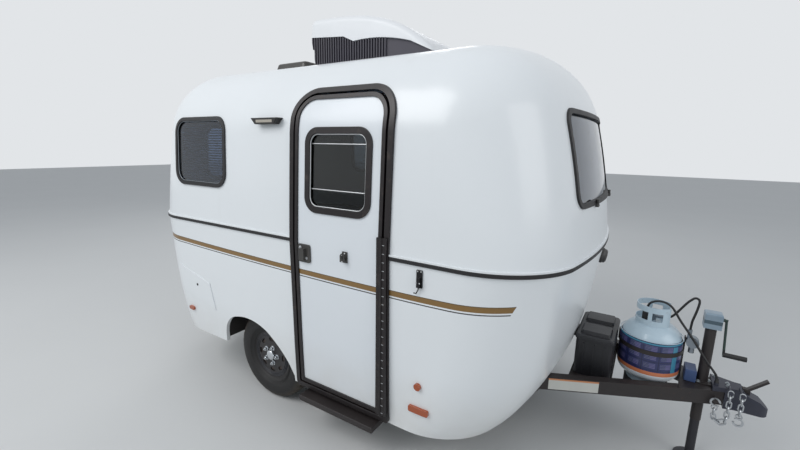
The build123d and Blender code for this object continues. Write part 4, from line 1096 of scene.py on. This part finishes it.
class TRAILER_OT_cabin(TrailerOperator, bpy.types.Operator):
    """Moulded shell, belt moulding, floor and furniture"""

    bl_idname = "trailer.cabin"
    bl_label = "Cabin"

    def make(self, finishes, sizes):
        """Dresses the cabin's solids and adds the hatches' locks and the inlet's cover"""
        plain = gelcoat("gelcoat plain", finishes.gelcoat)
        dress("lower_shell", gelcoat("gelcoat", finishes.gelcoat, finishes), sharp=28)
        dress("upper_shell", plain, sharp=28)
        dress("wall_hatches", plain, 0.004, segments=3)
        dress("belt_moulding", rubber("belt rubber", finishes.rubber), 0.003, segments=3)
        dress("wheel_wells", dark_paint("wheel well lining", paint_colour(52, 52, 52), 0.1))
        dress("cabin_floor", wood("floor boards", paint_colour(150, 122, 92)))
        veneer = wood("cabinet veneer", paint_colour(176, 136, 92))
        for node in ("benches", "dinette_table", "kitchen_unit"):
            dress(node, veneer, 0.003)
        self.inlet_cover()
        finder = wall_finder("wall_hatches")
        places = ((-1, -1.372, 0.705), (1, -0.1755, 0.742), (1, -1.2655, 0.748))
        grow_piece(
            "hatch_locks", screw_tree(), [side_spot(finder, x, z, side) for side, x, z in places],
            hard_plastic("lock black", paint_colour(28, 28, 32), 0.3), "trailer", "window_black",
            Radius=0.010, Rise=0.005,
        )

    def inlet_cover(self):
        """Round black cover of the power inlet, high on the nose"""
        place, normal = on_nose(wall_finder("lower_shell"), 0.27, 1.045)
        across = Vector(upright).cross(normal).normalized()
        profile = (
            (-0.002, 0.050), (0.014, 0.050), (0.018, 0.046), (0.030, 0.044), (0.038, 0.034), (0.040, 0.012)
        )
        black = hard_plastic("inlet cover black", paint_colour(30, 31, 36))
        turned("power_inlet_cover", place, normal, across, profile, 28, black, "trailer", "window_black")


class TRAILER_OT_door(TrailerOperator, bpy.types.Operator):
    """Door frame, leaf, pane, hinge with its screws, latch and hold-back"""

    bl_idname = "trailer.door"
    bl_label = "Door"

    def make(self, finishes, sizes):
        """Dresses the door's solids and adds its screws, beads and bars"""
        brown = anodised("door frame brown", finishes.frame_brown)
        dress("door_frame", brown, 0.004, segments=3)
        dress("door_trim", brown, 0.004, segments=3)
        dress("door_panel", gelcoat("door panel", finishes.door_white, finishes), sharp=28)
        dress("frame_hinge", brown, 0.001)
        dress("door_hinge", brown, 0.001)
        dress("door_glass", glazing("door pane", paint_colour(120, 124, 120)))
        dress("door_fittings", hard_plastic("latch black", paint_colour(26, 26, 28), 0.28), 0.003, segments=3)
        dress("holdback_catch", anodised("catch", paint_colour(40, 40, 42), 0.6), 0.002)
        bright = bare_metal("bright aluminium", paint_colour(206, 208, 210), 0.25)
        skin = wall_finder(
            "door_frame", "door_trim", "door_panel", "door_glass", "frame_hinge", "door_hinge"
        )
        self.hinge_details(skin, bright, brown, sizes)
        self.window_details(skin, bright)
        self.latch_details(bright)
        self.catch_details(bright)

    def hinge_details(self, skin, bright, brown, sizes):
        """Gaps between the hinge's knuckles, and its screws between them"""
        gaps = []
        screws = []
        height = 0.335
        while height < 1.275:
            gaps.append(side_spot(skin, hinge_x + 0.009, height))
            screws.append(side_spot(skin, hinge_x - 0.021, height + sizes.knuckle_pitch / 2))
            height += sizes.knuckle_pitch
        grow_piece(
            "hinge_knuckle_gaps", slat_tree(), gaps, bright, "trailer", "bright_trim",
            Length=0.018, Width=0.0032, Thickness=0.0016,
        )
        grow_piece(
            "hinge_screws", screw_tree(), screws, brown, "door", "trim_brown",
            Radius=sizes.screw_radius, Rise=0.002,
        )

    def window_details(self, skin, bright):
        """Bright bead round the door's window and two bars across it"""
        bead = bead_line(skin, rounded_ring(door_x, door_window_z, 0.374, 0.382, 0.050), -1, 0.011)
        tube("door_window_bead", bead, 0.0035, bright, "door", "bright_trim", closed=True)
        for name, height in (("door_window_bar_high", 1.728), ("door_window_bar_low", 1.487)):
            places = [on_side(skin, door_x + (step / 8 - 0.5) * 0.372, height)[0] for step in range(9)]
            path = [place + Vector((0, -0.002, 0)) for place in places]
            tube(name, path, 0.003, bright, "door", "bright_trim")

    def latch_details(self, bright):
        """Lock and key barrel of the latch, and the screws and hook of the hold-back"""
        finder = wall_finder("door_fittings")
        nut = nut_tree()
        for name, x, z, radius in (
            ("latch_lock", -0.2880, 1.152, 0.008), ("latch_key", -0.2430, 1.096, 0.007)
        ):
            spots = [side_spot(finder, x, z)]
            grow_piece(name, nut, spots, bright, "door", "bright_trim", Radius=radius, Rise=0.005)
        spots = [side_spot(finder, 0.0315, z) for z in (1.165, 1.125)]
        grow_piece(
            "hook_screws", screw_tree(), spots, bright, "door", "bright_trim", Radius=0.0045, Rise=0.0025
        )
        black = hard_plastic("handle black", paint_colour(20, 20, 22), 0.25)
        hook = (
            (0.030, -1.042, 1.168), (0.030, -1.052, 1.166), (0.030, -1.055, 1.154), (0.032, -1.052, 1.140)
        )
        tube("holdback_hook", hook, 0.004, black, "door", "window_black")

    def catch_details(self, bright):
        """Screws of the hold-back catch on the wall, and the bent hook that hangs from it"""
        finder = wall_finder("holdback_catch")
        spots = [side_spot(finder, catch_x + along, z) for z in (1.149, 1.096) for along in (-0.009, 0.009)]
        grow_piece(
            "catch_screws", screw_tree(), spots, bright, "trailer", "bright_trim", Radius=0.0038, Rise=0.002
        )
        wall = wall_finder("lower_shell")
        down = []
        for back, z, out in (
            (0.0, 1.072, 0.012), (0.003, 1.058, 0.011), (0.013, 1.040, 0.012), (0.026, 1.041, 0.013)
        ):
            place, _ = on_side(wall, catch_x - back, z)
            down.append(place + Vector((0, -out, 0)))
        black = hard_plastic("catch black", paint_colour(22, 22, 24), 0.3)
        tube("catch_hook", down, 0.0032, black, "trailer", "window_black")


class TRAILER_OT_windows(TrailerOperator, bpy.types.Operator):
    """Window frames, panes and the louvres behind the side panes"""

    bl_idname = "trailer.windows"
    bl_label = "Windows"

    def make(self, finishes, sizes):
        """Dresses the windows and adds their louvres, beads and clasps"""
        dress("window_frames", rubber("window rubber", finishes.rubber), 0.004, segments=3)
        # The window panes' pale blue colour is painted sky reflection, not a tint of the glass
        dress("window_glass", glazing("window pane", paint_colour(132, 148, 170)))
        skin = wall_finder("window_glass", "window_frames")
        self.louvres(skin, sizes.louvre_count)
        bead = bare_metal("window bead", paint_colour(150, 156, 162), 0.3)
        for name, side, x, z, width, height in (
            ("right", -1, side_window_x, side_window_z, 0.512, 0.402),
            ("left", 1, side_window_x, side_window_z, 0.512, 0.402),
            ("kitchen", 1, kitchen_window_x, kitchen_window_z, 0.506, 0.276),
        ):
            line = bead_line(skin, rounded_ring(x, z, width, height, 0.072), side, 0.006)
            tube(f"window_bead_{name}", line, 0.003, bead, "trailer", "window_black", closed=True)
        self.clasps()

    def louvres(self, skin, count):
        """Tilted slats behind the rear window of each side"""
        slat = slat_tree()
        finish = bare_metal("louvre aluminium", paint_colour(150, 158, 164), 0.3, (0.1, 1.0, 1.0))
        tilt = math.radians(38)
        pitch = 0.0162
        behind_pane = 0.026
        for side, hand in hands:
            spots = []
            for index in range(count):
                z = side_window_z + (index - (count - 1) / 2) * pitch
                place, _ = on_side(skin, side_window_x, z, side)
                middle = (side_window_x, place.y - side * behind_pane, z)
                spots.append((middle, (0, side * math.sin(tilt), math.cos(tilt)), level))
            grow_piece(
                f"window_louvres_{hand}", slat, spots, finish, "trailer", "window_black",
                Length=0.48, Width=0.013, Thickness=0.0012,
            )

    def clasps(self):
        """Two clasps at the lower edge of the front window"""
        black = hard_plastic("clasp black", paint_colour(24, 24, 26), 0.3)
        finder = wall_finder("window_frames")
        for index, y in enumerate((-0.30, 0.30)):
            place, _ = on_nose(finder, y, 1.455)
            for part, start, end, radius, sides in (
                ("plate", (0.004, 0, 0.016), (0.005, 0, -0.024), 0.009, 12),
                ("lever", (0.008, -0.018, 0.010), (0.010, 0.020, -0.020), 0.005, 10),
            ):
                path = [place + Vector(start), place + Vector(end)]
                name = f"window_clasp_{part}_{index + 1}"
                tube(name, path, radius, black, "trailer", "window_black", sides=sides)


class TRAILER_OT_roof(TrailerOperator, bpy.types.Operator):
    """Air cooler and roof vent"""

    bl_idname = "trailer.roof"
    bl_label = "Roof pieces"

    def make(self, finishes, sizes):
        """Dresses the roof's solids"""
        for node, name, colour, roughness, speckle, edge, segments in (
            ("cooler_shroud", "cooler shroud", (232, 234, 236), 0.3, 0.06, 0.003, 2),
            ("cooler_body", "cooler grille", (54, 52, 66), 0.5, 0.2, 0.001, 2),
            ("vent_base", "vent base", (206, 204, 196), 0.4, 0.2, 0.003, 2),
            ("vent_lid", "vent lid", (46, 44, 42), 0.2, 0.15, 0.01, 4),
        ):
            plastic = hard_plastic(name, paint_colour(*colour), roughness, speckle)
            dress(node, plastic, edge, segments=segments)


class TRAILER_OT_lamps(TrailerOperator, bpy.types.Operator):
    """Marker, tail and porch lamps, and the blank number plate"""

    bl_idname = "trailer.lamps"
    bl_label = "Lamps and plate"

    def make(self, finishes, sizes):
        """Dresses the lamps and the plate"""
        dress("marker_lights", lamp("amber lens", paint_colour(172, 78, 30), 700), 0.002)
        dress("tail_lights", lamp("red lens", paint_colour(176, 28, 24), 500), 0.004, segments=3)
        dress("porch_light", porch_lamp_paint(), 0.003)
        dress("number_plate", bare_metal("blank plate", paint_colour(214, 216, 218), 0.35), 0.001)


class TRAILER_OT_wheels(TrailerOperator, bpy.types.Operator):
    """Tyres with tread and ribs, rims, drums and nuts"""

    bl_idname = "trailer.wheels"
    bl_label = "Wheels"

    def make(self, finishes, sizes):
        """Makes both wheels"""
        casing = tyre_rubber("tyre rubber")
        steel = dark_paint("rim black", paint_colour(40, 41, 44), 0.25)
        gloss = hard_plastic("rim bead black", paint_colour(44, 46, 52), 0.2, 0.05)
        iron = dark_paint("drum iron", paint_colour(62, 54, 50), 0.9)
        chrome = bare_metal("chrome nuts", paint_colour(216, 220, 224), 0.12)
        nut = nut_tree()
        cap_profile = ((0.0, 0.034), (0.016, 0.034), (0.019, 0.031), (0.022, 0.020), (0.0235, 0.008))
        for side, hand in hands:
            body = f"{hand}_wheel"
            outward = (0, side, 0)
            middle = (axle_x, side * rim_face, tyre_radius)
            work = self.tyre(side, sizes.tread_segments)
            tyre = make_piece(f"tyre_{hand}_tread", work, casing, body, "tyre_rubber", 38)
            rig.replaces(tyre, f"tyre_{hand}")
            dress(f"rim_{hand}", steel, 0.003, segments=3)
            dress(f"hub_{hand}", iron, 0.004)
            spots = [(place, outward, level) for place in circle(middle, level, upright, bolt_circle, 5)]
            grow_piece(
                f"wheel_nuts_{hand}", nut, spots, chrome, body, "fitting_metal", Radius=0.0125, Rise=0.019
            )
            turned(
                f"grease_cap_{hand}", middle, outward, level, cap_profile, 24, chrome, body, "fitting_metal"
            )
            for index, radius in enumerate(rim_bead_radii):
                path = circle(middle, level, upright, radius, 96)
                tube(f"rim_bead_{hand}_{index + 1}", path, 0.003, gloss, body, "rim_black", closed=True)

    def tyre(self, side, segments):
        """Tyre spun from its section, with ribs on its side walls and its shoulders cut into blocks"""
        rib_rise = 0.0018
        half = [(0.062, 0.163), (0.070, 0.168), (0.078, 0.182)]
        for radius in (0.1865, 0.1935, 0.2005):
            across = 0.078 + 0.26 * (radius - 0.182)
            half += [(across, radius - 0.002), (across + rib_rise, radius - 0.0008)]
            half += [(across + rib_rise, radius + 0.0008), (across, radius + 0.002)]
        half += [
            (0.0845, 0.207), (0.0870, 0.228), (0.0865, 0.250), (0.083, 0.268), (0.078, 0.281),
            (0.071, 0.2915), (0.064, 0.2985), (0.052, 0.3022), (0.046, 0.3028), (0.045, 0.2960),
            (0.038, 0.2960), (0.037, 0.3038), (0.020, 0.3045), (0.019, 0.2968), (0.012, 0.2968),
            (0.011, 0.3048),
        ]
        section = [(-across, radius) for across, radius in half] + half[::-1]
        cut_every, cut_depth = 4, 0.006
        shoulder_across, shoulder_radius = 0.045, 0.29
        rings = []
        for index in range(segments):
            turn = 2 * math.pi * index / segments
            ring = []
            for across, radius in section:
                if index % cut_every == 0 and radius > shoulder_radius and abs(across) > shoulder_across:
                    radius -= cut_depth
                x = axle_x + radius * math.cos(turn)
                ring.append((x, side * track_half + across, tyre_radius + radius * math.sin(turn)))
            rings.append(ring)
        return skinned(rings, closed=True)


class TRAILER_OT_tongue(TrailerOperator, bpy.types.Operator):
    """Chassis, trays, jack, coupler, step and their bolts"""

    bl_idname = "trailer.tongue"
    bl_label = "Chassis and tongue"

    def make(self, finishes, sizes):
        """Dresses the steel and adds its bolts and the blank plate"""
        black = dark_paint("chassis paint", finishes.chassis)
        blue = dark_paint("tongue paint", finishes.tongue_blue, 0.2)
        for node in ("chassis", "axle", "step_runners", "step_tread", "jack_column", "bottle_bracket"):
            dress(node, black, 0.003)
        dress("tongue_deck", black, 0.001)
        dress("junction_box", blue, 0.005, segments=3)
        dress("coupler", dark_paint("coupler paint", paint_colour(40, 46, 62), 0.3), 0.005, segments=3)
        dress("coupler_latch", black, 0.002)
        dress("jack_leg", bare_metal("jack leg zinc", paint_colour(70, 70, 74), 0.4), 0.001)
        dress("jack_head", jack_head_paint(), 0.004, segments=3)
        places = [(jack_x + x, y, 0.491) for x, y in ((-0.02, 0.033), (-0.02, -0.033), (0.03, 0))]
        places += [(coupler_x + x, y, 0.503) for x, y in ((0, 0.05), (0.05, 0), (0.05, -0.03))]
        grow_piece(
            "tongue_bolts", nut_tree(), [(place, upright, level) for place in places],
            bare_metal("zinc bolts", paint_colour(180, 186, 190), 0.3), "trailer", "fitting_metal",
            Radius=0.008, Rise=0.007,
        )
        self.rail_plate()

    def rail_plate(self):
        """Blank plate on the right rail's outer side"""
        inner = []
        for ahead, height in ((-0.160, 0.408), (0.080, 0.408), (0.080, 0.473), (-0.160, 0.473)):
            x = body_nose + ahead
            inner.append((x, -rail_edge - rail_slope * (rail_end_x - x), height))
        outer = [(x - 0.0004, y - 0.0009, z) for x, y, z in inner]
        work = skinned([inner, outer])
        make_piece("rail_plate_blank", work, plate_paint(), "trailer", "plate_blank", 30)


class TRAILER_OT_bottle(TrailerOperator, bpy.types.Operator):
    """Gas bottle with its wrap, collar, valve and regulator"""

    bl_idname = "trailer.bottle"
    bl_label = "Gas bottle"

    def make(self, finishes, sizes):
        """Dresses the bottle and adds its weld bead"""
        coat = bottle_paint(finishes)
        dress("gas_bottle", coat, sharp=40)
        dress("gas_fittings", bare_metal("regulator zinc", paint_colour(150, 158, 166), 0.35), 0.002)
        path = circle((bottle_x, 0, tray_z + 0.283), level, (0, 1, 0), 0.1555, 72)
        tube("bottle_weld_bead", path, 0.0022, coat, "trailer", "bottle_grey", closed=True, sides=6)


class TRAILER_OT_battery(TrailerOperator, bpy.types.Operator):
    """Battery box and its lid, with the ribs on the box"""

    bl_idname = "trailer.battery"
    bl_label = "Battery box"

    def make(self, finishes, sizes):
        """Dresses the box and grows its ribs"""
        black = hard_plastic("battery plastic", finishes.battery, 0.36, 0.08)
        dress("battery_box", black, 0.004, segments=3)
        dress("battery_lid", black, 0.003, segments=3)
        low, high = (Vector(corner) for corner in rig.box("battery_box"))
        middle = (low + high) / 2
        rib_z = middle.z - 0.004
        side_pitch, end_pitch = 0.05, 0.055
        spots = []
        for way, corner in ((-1, low), (1, high)):
            for step in range(-3, 4):
                spots.append(((corner.x, middle.y + step * side_pitch, rib_z), (way, 0, 0), upright))
            for step in range(-1, 2):
                spots.append(((middle.x + step * end_pitch, corner.y, rib_z), (0, way, 0), upright))
        grow_piece(
            "battery_box_ribs", slat_tree(), spots, black, "trailer", "battery_black",
            Length=0.19, Width=0.009, Thickness=0.008,
        )


class TRAILER_OT_chains(TrailerOperator, bpy.types.Operator):
    """Safety chains of round wire, with their hooks"""

    bl_idname = "trailer.chains"
    bl_label = "Safety chains"

    def make(self, finishes, sizes):
        """Sets a wire link in place of each flat-sided link, and rounds the hooks"""
        zinc = bare_metal("chain zinc", paint_colour(196, 200, 204), 0.28)
        work = merged("safety_chains")
        longest_link = 0.06
        hooks = set()
        spots = []
        for island in self.islands(work):
            places = np.array([vertex.co[:] for vertex in island])
            centred = places - places.mean(axis=0)
            _, _, axes = np.linalg.svd(centred, full_matrices=False)
            if np.ptp(centred @ axes[0]) > longest_link:
                hooks.update(island)
            else:
                middle = (places.max(axis=0) + places.min(axis=0)) / 2
                spots.append((middle, axes[2], axes[0]))
        flat_links = [vertex for vertex in work.verts if vertex not in hooks]
        bmesh.ops.delete(work, geom=flat_links, context="VERTS")
        flattened(work)
        round_edges(make_piece("chain_hooks", work, zinc, "trailer", "chain_zinc"), 0.002, 3)
        links = grow_piece(
            "chain_links", link_tree(), spots, zinc, "trailer", "chain_zinc",
            Length=0.037, Width=0.0195, Wire=0.0072,
        )
        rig.replaces(links, "safety_chains")

    def islands(self, work):
        """The mesh's separate parts, each a list of vertices"""
        seen = set()
        for start in work.verts:
            if start in seen:
                continue
            seen.add(start)
            island = [start]
            for vertex in island:  # the list grows while it is walked
                for edge in vertex.link_edges:
                    other = edge.other_vert(vertex)
                    if other not in seen:
                        seen.add(other)
                        island.append(other)
            yield island


class TRAILER_PT_panel(bpy.types.Panel):
    """Settings and pieces of the travel trailer"""

    bl_idname = "TRAILER_PT_panel"
    bl_label = "Travel trailer"
    bl_space_type = "VIEW_3D"
    bl_region_type = "UI"
    bl_category = "Trailer"

    def draw(self, context):
        """Lists every setting, then every operator"""
        scene = context.scene
        for group in (scene.trailer_finishes, scene.trailer_sizes, scene.trailer_stage):
            for name in group.bl_rna.properties.keys():
                if name not in ("rna_type", "name"):
                    self.layout.prop(group, name)
        for operator in operators:
            self.layout.operator(operator.bl_idname)


operators = (
    TRAILER_OT_stage,
    TRAILER_OT_cords,
    TRAILER_OT_cabin,
    TRAILER_OT_door,
    TRAILER_OT_windows,
    TRAILER_OT_roof,
    TRAILER_OT_lamps,
    TRAILER_OT_wheels,
    TRAILER_OT_tongue,
    TRAILER_OT_bottle,
    TRAILER_OT_battery,
    TRAILER_OT_chains,
)
classes = (TrailerFinishes, TrailerSizes, StageSettings, *operators, TRAILER_PT_panel)


def register():
    """Adds the classes and the scene's settings"""
    for kind in classes:
        bpy.utils.register_class(kind)
    bpy.types.Scene.trailer_finishes = PointerProperty(type=TrailerFinishes)
    bpy.types.Scene.trailer_sizes = PointerProperty(type=TrailerSizes)
    bpy.types.Scene.trailer_stage = PointerProperty(type=StageSettings)


def unregister():
    """Takes them away again"""
    del bpy.types.Scene.trailer_stage
    del bpy.types.Scene.trailer_sizes
    del bpy.types.Scene.trailer_finishes
    for kind in reversed(classes):
        bpy.utils.unregister_class(kind)


def main():
    """Builds everything and writes the two boxes"""
    register()
    for operator in operators:
        group, name = operator.bl_idname.split(".")
        getattr(getattr(bpy.ops, group), name)()
    sizes = {
        "cad": [list(corner) for corner in cad_box],
        "visual": [list(corner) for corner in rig.bounds()],
    }
    with open("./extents.json", "w") as target:
        json.dump(sizes, target)


if __name__ == "__main__":
    main()
